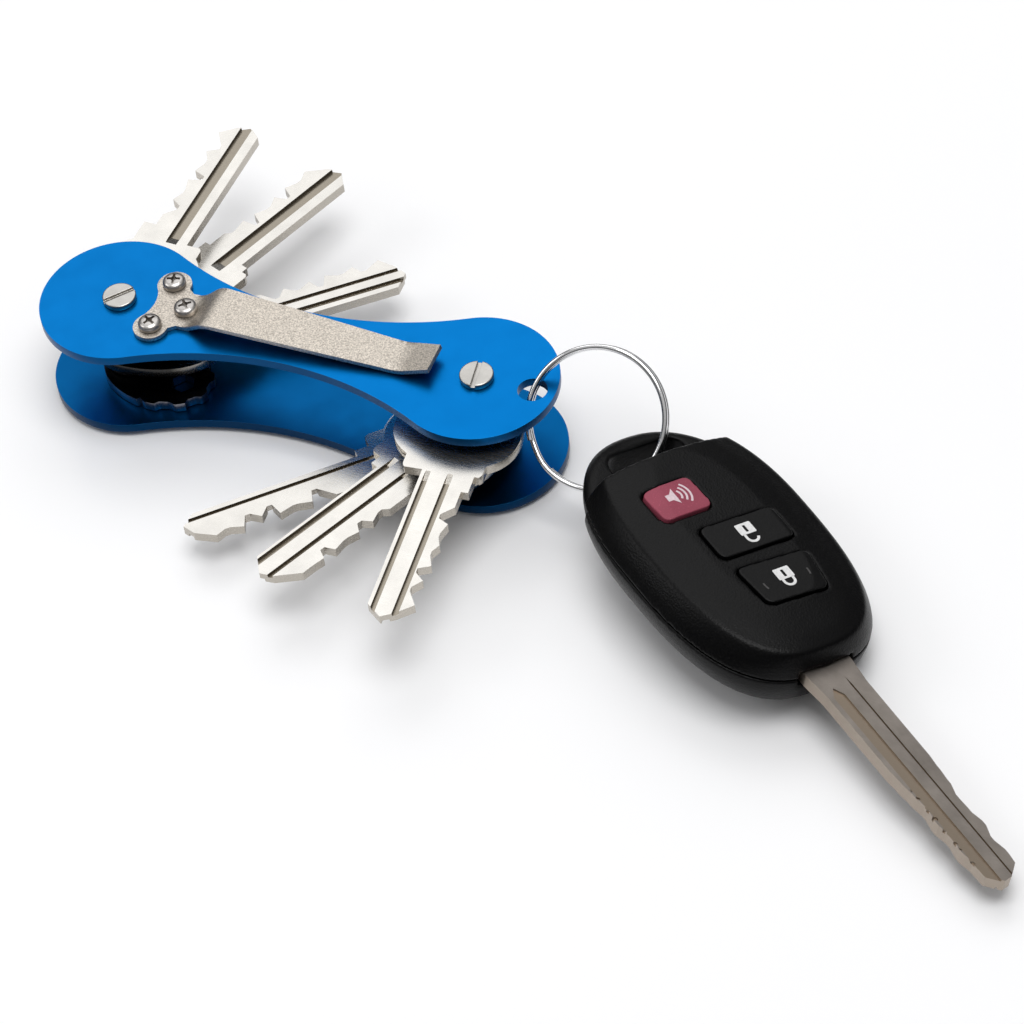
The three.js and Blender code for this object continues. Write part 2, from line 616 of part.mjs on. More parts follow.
function fobBlade() {
  const [low, high] = [FOB_SPLIT_H - BLADE_T / 2, FOB_SPLIT_H + BLADE_T / 2];
  const flank = (sign, depths) => depths.flatMap((depth, i) => {
    const x = 44 - 3.1 * i;
    return [[x + 0.5, sign * (BLADE_HALF - depth)], [x - 0.5, sign * (BLADE_HALF - depth)]];
  });
  const right = [...flank(-1, [1.4, 0.5, 1.2, 0.3, 1.3, 0.6, 0.2, 0]).reverse()];
  const left = flank(1, [0.9, 1.4, 0.4, 1.1, 1.3, 0.4, 1.0, 0.2]);
  const outline = [
    [-11.6, -4.4], [0.6, -4.5], [5.5, -BLADE_HALF], ...right, [46.6, -2.8], [48.7, -0.6],
    [48.4, 0.9], [46.4, 3.1], ...left, [5.5, BLADE_HALF], [0.6, 4.5], [-11.6, 4.4],
  ];
  let blade = prism(outline, low, high);
  [[high - 0.6, high + 1], [low - 1, low + 0.6]].forEach(([z0, z1], i) => {
    const mid = i === 0 ? 2.1 : -2.1;
    blade = blade.subtract(prism([
      [3.2, mid], [5, mid - 0.5], [52, mid - 0.5], [52, mid + 0.5], [5, mid + 0.5],
    ], z0, z1)).subtract(prism([
      [4.6, mid * -0.2], [6.4, mid * -0.2 - 0.6], [52, mid * -0.2 - 0.6],
      [52, mid * -0.2 + 0.6], [6.4, mid * -0.2 + 0.6],
    ], z0, z1));
  });
  return blade;
}

addPart('fob_shell_lower', fobLowerShell(), COLOURS.shell, FOB);
addPart('fob_shell_upper', fobUpperShell(), COLOURS.shell, FOB);
addPart('fob_blade', fobBlade(), COLOURS.bladeSteel, FOB);
Object.entries(BUTTONS).forEach(([name, { corners, look }]) => {
  addPart(name, fobButton(corners), look, FOB);
});

// ---- inside the fob -----------------------------------------------------
function fobKeypad() {
  const top = 10.6 - BUTTON_TRAVEL - 0.1;
  const sheet = roundedPolygon([[-43.6, -11.4], [-15, -10.4], [-13.4, 0], [-15, 10.4],
    [-43.6, 11.4]], 2);
  return Object.values(BUTTONS).reduce((pad, { corners }) => {
    const [x, y] = [0, 1].map((k) => corners.reduce((sum, p) => sum + p[k], 0) / 4);
    return pad.add(turned([[2.6, 9], [2, top]], 20, x, y));
  }, prism(sheet, 8.35, 9.15));
}

addPart('fob_keypad', fobKeypad(), COLOURS.rubber, FOB);
addPart('fob_circuit_board', prism(roundedPolygon(
  [[-43, -10.6], [-14.4, -9.6], [-14.4, 9.6], [-43, 10.6]],
  2,
), 7, 8), COLOURS.board, FOB);
addPart('fob_battery', turned([
  [9.2, 3.1], [9.9, 3.5], [9.9, 6.1], [8.6, 6.1], [8.6, 6.4],
], 32, -27.5, 0), COLOURS.steel, FOB);

export default parts;
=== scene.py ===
"""Looks of a key organiser: two waisted plates with fanned keys, a clip, a split ring and a fob."""

import math

import bmesh
import bpy
from mathutils import Matrix, Vector
from mathutils.bvhtree import BVHTree


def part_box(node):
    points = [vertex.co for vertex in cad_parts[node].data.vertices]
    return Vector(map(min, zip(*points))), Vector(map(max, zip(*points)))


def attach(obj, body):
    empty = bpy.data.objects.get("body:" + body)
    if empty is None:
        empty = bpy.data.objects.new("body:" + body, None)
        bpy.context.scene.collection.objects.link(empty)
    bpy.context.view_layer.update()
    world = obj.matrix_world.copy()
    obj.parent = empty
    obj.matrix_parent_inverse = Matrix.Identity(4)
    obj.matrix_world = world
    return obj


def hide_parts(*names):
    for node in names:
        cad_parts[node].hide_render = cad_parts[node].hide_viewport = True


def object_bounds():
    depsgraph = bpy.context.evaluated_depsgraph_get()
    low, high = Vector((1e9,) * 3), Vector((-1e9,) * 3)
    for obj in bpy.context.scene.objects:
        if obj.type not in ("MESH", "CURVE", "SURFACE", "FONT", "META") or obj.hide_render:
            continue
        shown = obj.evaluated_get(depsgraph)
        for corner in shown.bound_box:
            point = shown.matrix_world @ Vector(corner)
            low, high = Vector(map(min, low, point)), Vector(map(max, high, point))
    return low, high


bl_info = {
    "name": "Key Organiser",
    "version": (1, 0, 0),
    "blender": (4, 5, 0),
    "location": "View3D > Sidebar > Organiser",
    "description": "Builds the visible pieces of a key organiser around its packed frame",
    "category": "Object",
}

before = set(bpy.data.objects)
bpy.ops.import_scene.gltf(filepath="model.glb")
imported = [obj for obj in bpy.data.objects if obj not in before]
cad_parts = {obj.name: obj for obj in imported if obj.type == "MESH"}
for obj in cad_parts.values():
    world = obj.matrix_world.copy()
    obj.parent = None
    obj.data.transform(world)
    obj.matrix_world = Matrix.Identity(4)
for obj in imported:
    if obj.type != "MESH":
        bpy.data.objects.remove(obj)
CAD_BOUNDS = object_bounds()

MM = 0.001
LOWER_LOW, LOWER_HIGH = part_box("plate_lower")
# Pieces are laid out in millimetres about the middle of the lower plate's outer face.
LAYOUT = Matrix.Translation(Vector(((LOWER_LOW.x + LOWER_HIGH.x) / 2, 0, LOWER_LOW.z)) / MM)
PLATE_T = (LOWER_HIGH.z - LOWER_LOW.z) / MM
TOP_Z = (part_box("plate_upper")[1].z - LOWER_LOW.z) / MM
UPPER_Z = TOP_Z - PLATE_T
LOBE_R = (LOWER_HIGH.y - LOWER_LOW.y) / 2 / MM
HALF_SPAN = (LOWER_HIGH.x - LOWER_LOW.x) / 2 / MM - LOBE_R
LEAF_T = 1.8
POST_HOLE_R = 2.6


# ---- settings -----------------------------------------------------------
def length(name, description, default):
    return bpy.props.FloatProperty(name=name, description=description + ", mm", default=default)


def paint_colour(name, description, default):
    return bpy.props.FloatVectorProperty(
        name=name, description=description, subtype="COLOR", size=4, min=0, max=1,
        default=(*default, 1))


class PlateSettings(bpy.types.PropertyGroup):
    waist: length("Waist half width", "Half width of a plate at its waist", 6.2)
    edge: length("Edge radius", "Rounding of the plate edges", 0.28)
    ring_hole: length("Ring hole radius", "Radius of the hole for the split ring", 2.55)
    ring_hole_x: length("Ring hole place", "Distance of the ring hole from the middle", 43.0)
    colour: paint_colour("Anodising", "Colour of the anodised plates", (0.0006, 0.165, 0.5))


class SteelSettings(bpy.types.PropertyGroup):
    post_head: length("Post head radius", "Radius of the slotted post heads", 2.9)
    clip_head: length("Clip screw radius", "Radius of the clip's pan head screws", 2.0)
    sheet: length("Clip sheet", "Thickness of the clip's spring steel", 0.8)
    washer: length("Washer radius", "Outer radius of the spacer washers", 4.5)
    bright: paint_colour("Bright steel", "Colour of the post heads", (0.52, 0.505, 0.48))
    clip: paint_colour("Clip steel", "Colour of the blasted clip", (0.52, 0.475, 0.42))


class KeySettings(bpy.types.PropertyGroup):
    groove: length("Groove depth", "Depth of the milled grooves", 0.62)
    ward: length("Corner break", "Softening of the stamped key edges", 0.1)
    colour: paint_colour("Key nickel", "Colour of the nickel plated keys", (0.68, 0.66, 0.625))


class RingSettings(bpy.types.PropertyGroup):
    radius: length("Ring radius", "Radius to the middle of the wire", 11.85)
    wire: length("Wire radius", "Radius of the ring's wire", 0.5)


class FobSettings(bpy.types.PropertyGroup):
    half_width: length("Head half width", "Half width of the fob's head", 18.2)
    shell_detail: length("Shell detail", "Size of the finest shell feature", 0.3)
    shell: paint_colour("Shell black", "Colour of the moulded shells", (0.0012, 0.0012, 0.0014))
    alarm: paint_colour("Alarm button", "Colour of the alarm button", (0.27, 0.055, 0.085))


class OrganiserSettings(bpy.types.PropertyGroup):
    plates: bpy.props.PointerProperty(type=PlateSettings)
    steel: bpy.props.PointerProperty(type=SteelSettings)
    keys: bpy.props.PointerProperty(type=KeySettings)
    ring: bpy.props.PointerProperty(type=RingSettings)
    fob: bpy.props.PointerProperty(type=FobSettings)


def middle_height(node):
    """Height of a node's middle above the lower plate's outer face, in millimetres."""
    low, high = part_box(node)
    return ((low.z + high.z) / 2 - LOWER_LOW.z) / MM


# ---- mesh helpers -------------------------------------------------------
def link(name, mesh):
    obj = bpy.data.objects.new(name, mesh)
    bpy.context.scene.collection.objects.link(obj)
    return obj


def discard(obj):
    data = obj.data
    bpy.data.objects.remove(obj)
    if isinstance(data, bpy.types.Mesh):
        bpy.data.meshes.remove(data)
    elif isinstance(data, bpy.types.Curve):
        bpy.data.curves.remove(data)


def frozen(obj, name=None):
    """Plain mesh object from the evaluated one; the source is removed."""
    graph = bpy.context.evaluated_depsgraph_get()
    graph.update()
    mesh = bpy.data.meshes.new_from_object(obj.evaluated_get(graph), depsgraph=graph)
    final = name or obj.name
    matrix = obj.matrix_world.copy()
    discard(obj)
    mesh.transform(matrix)
    mesh.name = final
    return link(final, mesh)


def clean(obj, merge=1e-4):
    work = bmesh.new()
    work.from_mesh(obj.data)
    bmesh.ops.remove_doubles(work, verts=work.verts, dist=merge)
    bmesh.ops.dissolve_degenerate(work, edges=work.edges, dist=merge)
    bmesh.ops.recalc_face_normals(work, faces=work.faces)
    work.to_mesh(obj.data)
    work.free()
    return obj


def from_faces(name, vertices, faces):
    mesh = bpy.data.meshes.new(name)
    mesh.from_pydata([tuple(v) for v in vertices], [], faces)
    return clean(link(name, mesh))


def loft(name, rings, closed=False):
    """Skin through rings of points, with a fan cap at both ends unless the stack is closed."""
    count = len(rings[0])
    vertices = [p for ring in rings for p in ring]
    faces = []
    for r in range(len(rings) - (0 if closed else 1)):
        a, b = r * count, ((r + 1) % len(rings)) * count
        for i in range(count):
            j = (i + 1) % count
            faces.append((a + i, a + j, b + j, b + i))
    if not closed:
        for ring, base in ((rings[0], 0), (rings[-1], (len(rings) - 1) * count)):
            vertices.append([sum(p[k] for p in ring) / count for k in range(3)])
            faces += [(base + i, base + (i + 1) % count, len(vertices) - 1) for i in range(count)]
    return from_faces(name, vertices, faces)


def circle(radius, z, count, x=0.0, y=0.0):
    steps = [2 * math.pi * i / count for i in range(count)]
    return [(x + radius * math.cos(t), y + radius * math.sin(t), z) for t in steps]


def turned(name, profile, count=64):
    return loft(name, [circle(r, z, count) for r, z in profile])


def arc(cx, cy, radius, start, stop, steps):
    span = [start + (stop - start) * i / steps for i in range(steps + 1)]
    return [(cx + radius * math.cos(t), cy + radius * math.sin(t)) for t in span]


def slab(name, outline, z0, z1, holes=()):
    """Flat solid with the given outline and holes."""
    curve = bpy.data.curves.new(name, "CURVE")
    curve.dimensions = "2D"
    curve.fill_mode = "BOTH"
    curve.extrude = (z1 - z0) / 2
    for loop in [outline, *holes]:
        spline = curve.splines.new("POLY")
        spline.points.add(len(loop) - 1)
        for point, (x, y) in zip(spline.points, loop):
            point.co = (x, y, 0, 1)
        spline.use_cyclic_u = True
    obj = bpy.data.objects.new(name, curve)
    bpy.context.scene.collection.objects.link(obj)
    obj = frozen(obj)
    obj.data.transform(Matrix.Translation((0, 0, (z0 + z1) / 2)))
    return clean(obj)


def box(name, low, high):
    corners = [(x, y, z) for z in (low[2], high[2]) for x, y in (
        (low[0], low[1]), (high[0], low[1]), (high[0], high[1]), (low[0], high[1]))]
    faces = [(3, 2, 1, 0), (4, 5, 6, 7), (0, 1, 5, 4), (1, 2, 6, 5), (2, 3, 7, 6), (3, 0, 4, 7)]
    return from_faces(name, corners, faces)


def combine(target, other, operation):
    """Boolean of two solids; the second one is used up."""
    modifier = target.modifiers.new("combine", "BOOLEAN")
    modifier.operation = operation
    modifier.solver = "EXACT"
    modifier.object = other
    result = frozen(target)
    discard(other)
    return result


def cut(target, other):
    return combine(target, other, "DIFFERENCE")


def soften(obj, width, angle=30, segments=2):
    modifier = obj.modifiers.new("soften", "BEVEL")
    modifier.width = width
    modifier.segments = segments
    modifier.limit_method = "ANGLE"
    modifier.angle_limit = math.radians(angle)
    modifier.use_clamp_overlap = True
    modifier.harden_normals = False
    return frozen(obj)


def moulded(obj, size, rounds):
    """Even skin over a solid with all its edges slightly melted together."""
    remesh = obj.modifiers.new("skin", "REMESH")
    remesh.mode = "VOXEL"
    remesh.voxel_size = size
    relax = obj.modifiers.new("relax", "SMOOTH")
    relax.factor = 0.5
    relax.iterations = rounds
    return frozen(obj)


def sink_grooves(obj, half, middle=0.0):
    """Marks the faces that lie below the two broad faces of a leaf."""
    sunk = obj.data.attributes.new("sunk", "FLOAT", "FACE")
    for polygon, mark in zip(obj.data.polygons, sunk.data):
        height = polygon.center.z - middle
        inward = polygon.normal.z * height > 0 and abs(polygon.normal.z) > 0.05
        mark.value = 1.0 if inward and abs(height) < half - 0.12 else 0.0


def shade(obj, angle):
    """Smooth shading; on sharp-edged pieces the large faces and those that lie flat stay flat."""
    soft = angle >= 60
    obj.data.set_sharp_from_angle(angle=math.radians(angle))
    level = obj.data.attributes.new("level", "FLOAT", "FACE")
    for polygon, mark in zip(obj.data.polygons, level.data):
        mark.value = abs(polygon.normal.z)
        small = abs(polygon.normal.z) < 0.9995 and polygon.area < 1.2
        polygon.use_smooth = soft or small


def hand_over(obj, body, nodes, material, placement=None, angle=35):
    """Turns a piece modelled in millimetres into a finished one that rides on its body."""
    shade(obj, angle)
    obj.data.transform(Matrix.Scale(MM, 4) @ LAYOUT @ (placement or Matrix.Identity(4)))
    if material.name not in [m.name for m in obj.data.materials if m]:
        obj.data.materials.clear()
        obj.data.materials.append(material)
    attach(obj, body)
    if nodes:
        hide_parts(*nodes)
    return obj


def turn_z(degrees):
    return Matrix.Rotation(math.radians(degrees), 4, "Z")


def shift(x, y, z=0.0):
    return Matrix.Translation((x, y, z))


# ---- geometry node helpers ----------------------------------------------
def new_node(tree, kind, values, options):
    """Node with its options set and its inputs linked or given a value."""
    node = tree.nodes.new(kind)
    for key, value in options.items():
        setattr(node, key, value)
    for key, value in (values or {}).items():
        if isinstance(value, bpy.types.NodeSocket):
            tree.links.new(value, node.inputs[key])
        else:
            node.inputs[key].default_value = value
    return node


class Tree:
    """Small builder for a geometry node tree with named inputs."""

    def __init__(self, name, inputs):
        self.tree = bpy.data.node_groups.new(name, "GeometryNodeTree")
        face = self.tree.interface
        face.new_socket("Geometry", in_out="INPUT", socket_type="NodeSocketGeometry")
        self.keys = {}
        for label, kind in inputs:
            socket = face.new_socket(label, in_out="INPUT", socket_type="NodeSocket" + kind)
            self.keys[label] = socket.identifier
        face.new_socket("Geometry", in_out="OUTPUT", socket_type="NodeSocketGeometry")
        self.source = self.add("NodeGroupInput")
        self.sink = self.add("NodeGroupOutput")

    def add(self, kind, values=None, **options):
        return new_node(self.tree, kind, values, options)

    def given(self, label):
        return self.source.outputs[label]

    def maths(self, operation, first, second=None):
        values = {0: first}
        if second is not None:
            values[1] = second
        return self.add("ShaderNodeMath", values, operation=operation).outputs[0]

    def finish(self, geometry):
        real = self.add("GeometryNodeRealizeInstances", {0: geometry})
        coated = self.add("GeometryNodeSetMaterial", {0: real.outputs[0]})
        self.tree.links.new(self.given("Material"), coated.inputs["Material"])
        self.tree.links.new(coated.outputs[0], self.sink.inputs[0])

    def grow(self, obj, values):
        modifier = obj.modifiers.new("grow", "NODES")
        modifier.node_group = self.tree
        for label, value in values.items():
            modifier[self.keys[label]] = value
        result = frozen(obj)
        bpy.data.node_groups.remove(self.tree)
        return result


def washers_on_post(name, x, z, step, count, material):
    """Washers stacked down a post, each a rounded rectangle swept round a circle."""
    tree = Tree(name + "_tree", [
        ("Start", "Vector"), ("Step", "Vector"), ("Count", "Int"), ("Middle Radius", "Float"),
        ("Wall", "Float"), ("Thickness", "Float"), ("Rounding", "Float"), ("Material", "Material")])
    line = tree.add("GeometryNodeMeshLine", {
        "Count": tree.given("Count"), "Start Location": tree.given("Start"),
        "Offset": tree.given("Step")}, mode="OFFSET")
    loop = tree.add("GeometryNodeCurvePrimitiveCircle", {
        "Resolution": 64, "Radius": tree.given("Middle Radius")})
    section = tree.add("GeometryNodeCurvePrimitiveQuadrilateral", {
        "Width": tree.given("Wall"), "Height": tree.given("Thickness")})
    rounded = tree.add("GeometryNodeFilletCurve", {
        "Curve": section.outputs[0], "Radius": tree.given("Rounding"), "Count": 3},
        mode="POLY")
    body = tree.add("GeometryNodeCurveToMesh", {
        "Curve": loop.outputs[0], "Profile Curve": rounded.outputs[0]})
    copies = tree.add("GeometryNodeInstanceOnPoints", {
        "Points": line.outputs[0], "Instance": body.outputs[0]})
    tree.finish(copies.outputs[0])
    steel = bpy.context.scene.organiser.steel
    wall = steel.washer - POST_HOLE_R
    return tree.grow(link(name, bpy.data.meshes.new(name)), {
        "Start": (x, 0, z), "Step": (0, 0, step), "Count": count,
        "Middle Radius": POST_HOLE_R + wall / 2, "Wall": wall, "Thickness": LEAF_T,
        "Rounding": 0.18, "Material": material})


def copies_of(name, blank, places, material):
    """The blank repeated at each place (x, y, z, turn in degrees)."""
    tree = Tree(name + "_tree", [("Blank", "Object"), ("Material", "Material")])
    info = tree.add("GeometryNodeObjectInfo", {"Object": tree.given("Blank")})
    turn = tree.add("GeometryNodeInputNamedAttribute", {"Name": "turn"}, data_type="FLOAT")
    spin = tree.add("ShaderNodeCombineXYZ", {"Z": turn.outputs[0]})
    points = tree.add("GeometryNodeMeshToPoints", {"Mesh": tree.source.outputs[0]})
    copies = tree.add("GeometryNodeInstanceOnPoints", {
        "Points": points.outputs[0], "Instance": info.outputs["Geometry"],
        "Rotation": spin.outputs[0]})
    tree.finish(copies.outputs[0])
    mesh = bpy.data.meshes.new(name)
    mesh.from_pydata([place[:3] for place in places], [], [])
    turns = mesh.attributes.new("turn", "FLOAT", "POINT")
    for item, place in zip(turns.data, places):
        item.value = math.radians(place[3])
    result = tree.grow(link(name, mesh), {"Blank": blank, "Material": material})
    discard(blank)
    return result


def wound_wire(name, radius, wire, start, length, crossing, step, material):
    """One wire wound twice round, crossing from one turn to the other over a short arc."""
    tree = Tree(name + "_tree", [
        ("Stations", "Int"), ("Radius", "Float"), ("Wire Radius", "Float"), ("Start", "Float"),
        ("Length", "Float"), ("Crossing", "Float"), ("Coil Step", "Float"),
        ("Material", "Material")])
    line = tree.add("GeometryNodeMeshLine", {"Count": tree.given("Stations")}, mode="OFFSET")
    index = tree.add("GeometryNodeInputIndex").outputs[0]
    last = tree.maths("SUBTRACT", tree.given("Stations"), 1.0)
    along = tree.maths("MULTIPLY", tree.maths("DIVIDE", index, last), tree.given("Length"))
    angle = tree.maths("ADD", along, tree.given("Start"))
    whole = 2 * math.pi
    early = tree.maths("SUBTRACT", whole, tree.given("Crossing"))
    blend = tree.add("ShaderNodeMapRange", {
        "Value": along, "From Min": early, "From Max": whole},
        interpolation_type="SMOOTHSTEP").outputs[0]
    rise = tree.maths("MULTIPLY", tree.maths("SUBTRACT", blend, 0.5), tree.given("Coil Step"))
    place = tree.add("ShaderNodeCombineXYZ", {
        "X": tree.maths("MULTIPLY", tree.maths("COSINE", angle), tree.given("Radius")),
        "Y": tree.maths("MULTIPLY", tree.maths("SINE", angle), tree.given("Radius")),
        "Z": rise})
    moved = tree.add("GeometryNodeSetPosition", {0: line.outputs[0], "Position": place.outputs[0]})
    path = tree.add("GeometryNodeMeshToCurve", {0: moved.outputs[0]})
    section = tree.add("GeometryNodeCurvePrimitiveCircle", {
        "Resolution": 20, "Radius": tree.given("Wire Radius")})
    body = tree.add("GeometryNodeCurveToMesh", {
        "Curve": path.outputs[0], "Profile Curve": section.outputs[0], "Fill Caps": True})
    tree.finish(body.outputs[0])
    return tree.grow(link(name, bpy.data.meshes.new(name)), {
        "Stations": 360, "Radius": radius, "Wire Radius": wire, "Start": start,
        "Length": length, "Crossing": crossing, "Coil Step": step, "Material": material})


# ---- materials ----------------------------------------------------------
class Paint:
    """Small builder for a shader tree on Object coordinates."""

    def __init__(self, name, **sockets):
        self.material = bpy.data.materials.new(name)
        self.material.use_nodes = True
        self.nodes = self.material.node_tree.nodes
        self.links = self.material.node_tree.links
        self.shader = self.nodes["Principled BSDF"]
        self.coordinates = self.nodes.new("ShaderNodeTexCoord").outputs["Object"]
        for key, value in sockets.items():
            self.shader.inputs[key.replace("_", " ")].default_value = value

    def add(self, kind, values=None, **options):
        return new_node(self.material.node_tree, kind, values, options)

    def mapped(self, scale=(1, 1, 1), turn=0.0):
        return self.add("ShaderNodeMapping", {
            "Vector": self.coordinates, "Scale": scale,
            "Rotation": (0, 0, math.radians(turn))}).outputs[0]

    def noise(self, scale, detail=3.0, rough=0.5, stretch=(1, 1, 1), turn=0.0):
        return self.add("ShaderNodeTexNoise", {
            "Vector": self.mapped(stretch, turn), "Scale": scale, "Detail": detail,
            "Roughness": rough}).outputs["Fac"]

    def spread(self, value, low, high, start=0.3, stop=0.7):
        return self.add("ShaderNodeMapRange", {
            "Value": value, "From Min": start, "From Max": stop, "To Min": low,
            "To Max": high}).outputs[0]

    def mix(self, factor, first, second):
        return self.add("ShaderNodeMix", {"Factor": factor, 6: first, 7: second},
                        data_type="RGBA").outputs[2]

    def attribute(self, name):
        return self.add("ShaderNodeAttribute", attribute_name=name).outputs["Fac"]

    def times(self, first, second):
        return self.add("ShaderNodeMath", {0: first, 1: second}, operation="MULTIPLY").outputs[0]

    def colour(self, value):
        self.links.new(value, self.shader.inputs["Base Color"])
        return self

    def roughness(self, value):
        self.links.new(value, self.shader.inputs["Roughness"])
        return self

    def bump(self, height, distance, strength=1.0):
        previous = self.shader.inputs["Normal"]
        values = {"Height": height, "Distance": distance * MM, "Strength": strength}
        if previous.is_linked:
            values["Normal"] = previous.links[0].from_socket
        node = self.add("ShaderNodeBump", values)
        self.links.new(node.outputs[0], previous)
        return self


def scaled(colour, factor):
    return (*(min(1.0, c * factor) for c in colour[:3]), 1)


def painted_bevel_highlight(paint, colour, bright, amount):
    """Painted highlight: lightens the narrow bevels between the broad faces and the walls."""
    level = paint.attribute("level")
    bevel = paint.times(paint.spread(level, 0, amount, 0.15, 0.4),
                        paint.spread(level, 1, 0, 0.93, 0.99))
    return paint.mix(bevel, colour, bright)


def anodised(name, colour):
    paint = Paint(name, Metallic=1.0, Roughness=0.34)
    cloud = paint.spread(paint.noise(35, 2), 0, 1)
    tint_with_painted_shade = paint.mix(cloud, scaled(colour, 0.97), scaled(colour, 1.03))
    # Painted shade: the upright walls are darkened to 0.4 of the blue.
    wall = paint.spread(paint.attribute("level"), 1, 0, 0.1, 0.5)
    tint_with_painted_shade = paint.mix(wall, tint_with_painted_shade, scaled(colour, 0.4))
    # Painted highlight in pale blue on the narrow bevels.
    paint.colour(painted_bevel_highlight(paint, tint_with_painted_shade, (0.05, 0.34, 0.8, 1), 0.8))
    grain = paint.noise(9000, 2, 0.6)
    paint.roughness(paint.spread(paint.noise(240, 4), 0.3, 0.38))
    return paint.bump(grain, 0.004).material


def near_point(paint, place, inner, outer):
    """One near the place (x, y in millimetres of the layout) and zero beyond the outer radius."""
    centre = (LAYOUT @ Vector((*place, 0))) * MM
    flat = paint.mapped((1, 1, 0))
    apart = paint.add("ShaderNodeVectorMath", {0: flat, 1: (centre.x, centre.y, 0)},
                      operation="DISTANCE").outputs["Value"]
    return paint.spread(apart, 1, 0, inner * MM, outer * MM)


def brushed(name, colour, rough, turn=0.0, grain=0.012, blotch=0.12, stretch=(1, 26, 26),
            groove=0.4, wall=0.75, hub=None, hub_shade=0.1):
    """Metal with fine lines and faint stains; painted shade in its grooves and by its hub, painted
    light on its walls (shade below a wall factor of one, a highlight above it), and a painted
    highlight on its bevels.
    """
    paint = Paint(name, Metallic=1.0, Roughness=rough)
    lines = paint.noise(320, 4, 0.65, stretch, turn)
    stain = paint.spread(paint.noise(180, 4, 0.6), 0, 1, 0.35, 0.75)
    base = paint.mix(paint.spread(lines, 0, 1), scaled(colour, 0.92), scaled(colour, 1.05))
    stains_and_painted_light = paint.mix(stain, base, scaled(colour, 1 - blotch))
    red, green, blue = colour[:3]
    # Painted light on the upright walls: a wall factor below one paints shade, above one a
    # highlight.
    upright = paint.spread(paint.attribute("level"), 1, 0, 0.1, 0.5)
    stains_and_painted_light = paint.mix(upright, stains_and_painted_light, (red * wall, green * wall * 0.96, blue * wall * 0.9, 1))
    # Painted shade, a little browner, on the faces sunk in the grooves.
    groove_shade = (red * groove, green * groove * 0.92, blue * groove * 0.8, 1)
    stains_and_painted_light = paint.mix(paint.attribute("sunk"), stains_and_painted_light, groove_shade)
    stains_and_painted_light = painted_bevel_highlight(paint, stains_and_painted_light, scaled(colour, 1.25), 0.5)
    # Painted shade over the bow near its post, where it lies between the plates.
    if hub:
        stains_and_painted_light = paint.mix(near_point(paint, hub, 10.5, 14.5), stains_and_painted_light, scaled(colour, hub_shade))
    paint.colour(stains_and_painted_light)
    paint.roughness(paint.spread(lines, rough * 0.85, rough * 1.2))
    return paint.bump(lines, grain).material


def blasted(name, colour):
    """Steel with a coarse mottled grain."""
    paint = Paint(name, Metallic=1.0, Roughness=0.45)
    grain = paint.noise(3600, 4, 0.75)
    speck = paint.noise(5200, 2, 0.6)
    paint.colour(paint.mix(paint.spread(grain, 0, 1, 0.4, 0.6), scaled(colour, 0.66),
                           scaled(colour, 1.34)))
    paint.roughness(paint.spread(speck, 0.34, 0.55))
    paint.bump(grain, 0.02)
    return paint.bump(speck, 0.01).material


def polished(name, colour):
    paint = Paint(name, Metallic=1.0, Roughness=0.09)
    scuff = paint.noise(900, 5, 0.7, (1, 1, 4))
    paint.colour(paint.mix(paint.spread(scuff, 0, 1, 0.45, 0.7), colour, scaled(colour, 0.86)))
    paint.roughness(paint.spread(scuff, 0.06, 0.2, 0.4, 0.75))
    return paint.bump(scuff, 0.003).material


def textured_plastic(name, colour, rough, texture, fine=3600.0, sheen=0.2):
    """Moulded plastic with a leathery spark-eroded texture."""
    paint = Paint(name, Metallic=0.0, Roughness=rough, IOR=1.47)
    paint.shader.inputs["Specular IOR Level"].default_value = sheen
    pebble = paint.add("ShaderNodeTexVoronoi", {
        "Vector": paint.coordinates, "Scale": fine}, feature="SMOOTH_F1").outputs["Distance"]
    drift = paint.spread(paint.noise(60, 4), 0, 1)
    dust = paint.spread(paint.noise(fine * 1.4, 2, 0.7), 0, 1, 0.62, 0.8)
    base = paint.mix(drift, scaled(colour, 0.8), scaled(colour, 1.25))
    paint.colour(paint.mix(dust, base, scaled(colour, 2.6)))
    paint.roughness(paint.spread(pebble, rough * 0.85, rough * 1.2, 0.1, 0.8))
    return paint.bump(pebble, texture).material


def printed(name, colour):
    paint = Paint(name, Roughness=0.5)
    wear = paint.spread(paint.noise(1800, 3), 0, 1, 0.4, 0.8)
    paint.colour(paint.mix(wear, colour, scaled(colour, 0.8)))
    return paint.bump(wear, 0.004).material


def circuit(name):
    """Solder mask with pale tracks and pads."""
    paint = Paint(name, Roughness=0.42)
    cells = paint.add("ShaderNodeTexVoronoi", {
        "Vector": paint.coordinates, "Scale": 420.0}, feature="DISTANCE_TO_EDGE").outputs[0]
    track = paint.spread(cells, 1, 0, 0.02, 0.07)
    paint.colour(paint.mix(track, (0.012, 0.1, 0.035, 1), (0.05, 0.26, 0.1, 1)))
    return paint.bump(track, 0.03).material


def shared(name, maker, *values, **options):
    """One look used by several pieces; the prefix keeps it apart from the frame's own."""
    own = "look_" + name
    found = bpy.data.materials.get(own)
    return found if found else maker(own, *values, **options)


# ---- plates -------------------------------------------------------------
CLIP_SCREWS = [(-24.8, 5.1), (-20.4, 0.0), (-24.8, -5.1)]
CLIP_HOLE_R = 1.2


def plate_outline(half, lobe, waist):
    """Two round ends joined by shallow waists that run smoothly into them."""
    sweep = (half ** 2 + waist ** 2 - lobe ** 2) / (2 * (lobe - waist))
    centre = waist + sweep
    blend = math.atan2(centre, -half)
    inner = math.atan2(centre, half)
    points = arc(half, 0, lobe, -blend, blend, 110)
    points += arc(0, centre, sweep, -inner, inner - math.pi, 40)[1:-1]
    points += arc(-half, 0, lobe, math.pi - blend, math.pi + blend, 110)
    points += arc(0, -centre, sweep, blend, inner, 40)[1:-1]
    return points


def round_hole(x, y, radius, steps=48):
    return list(reversed(arc(x, y, radius, 0, 2 * math.pi, steps)[:-1]))


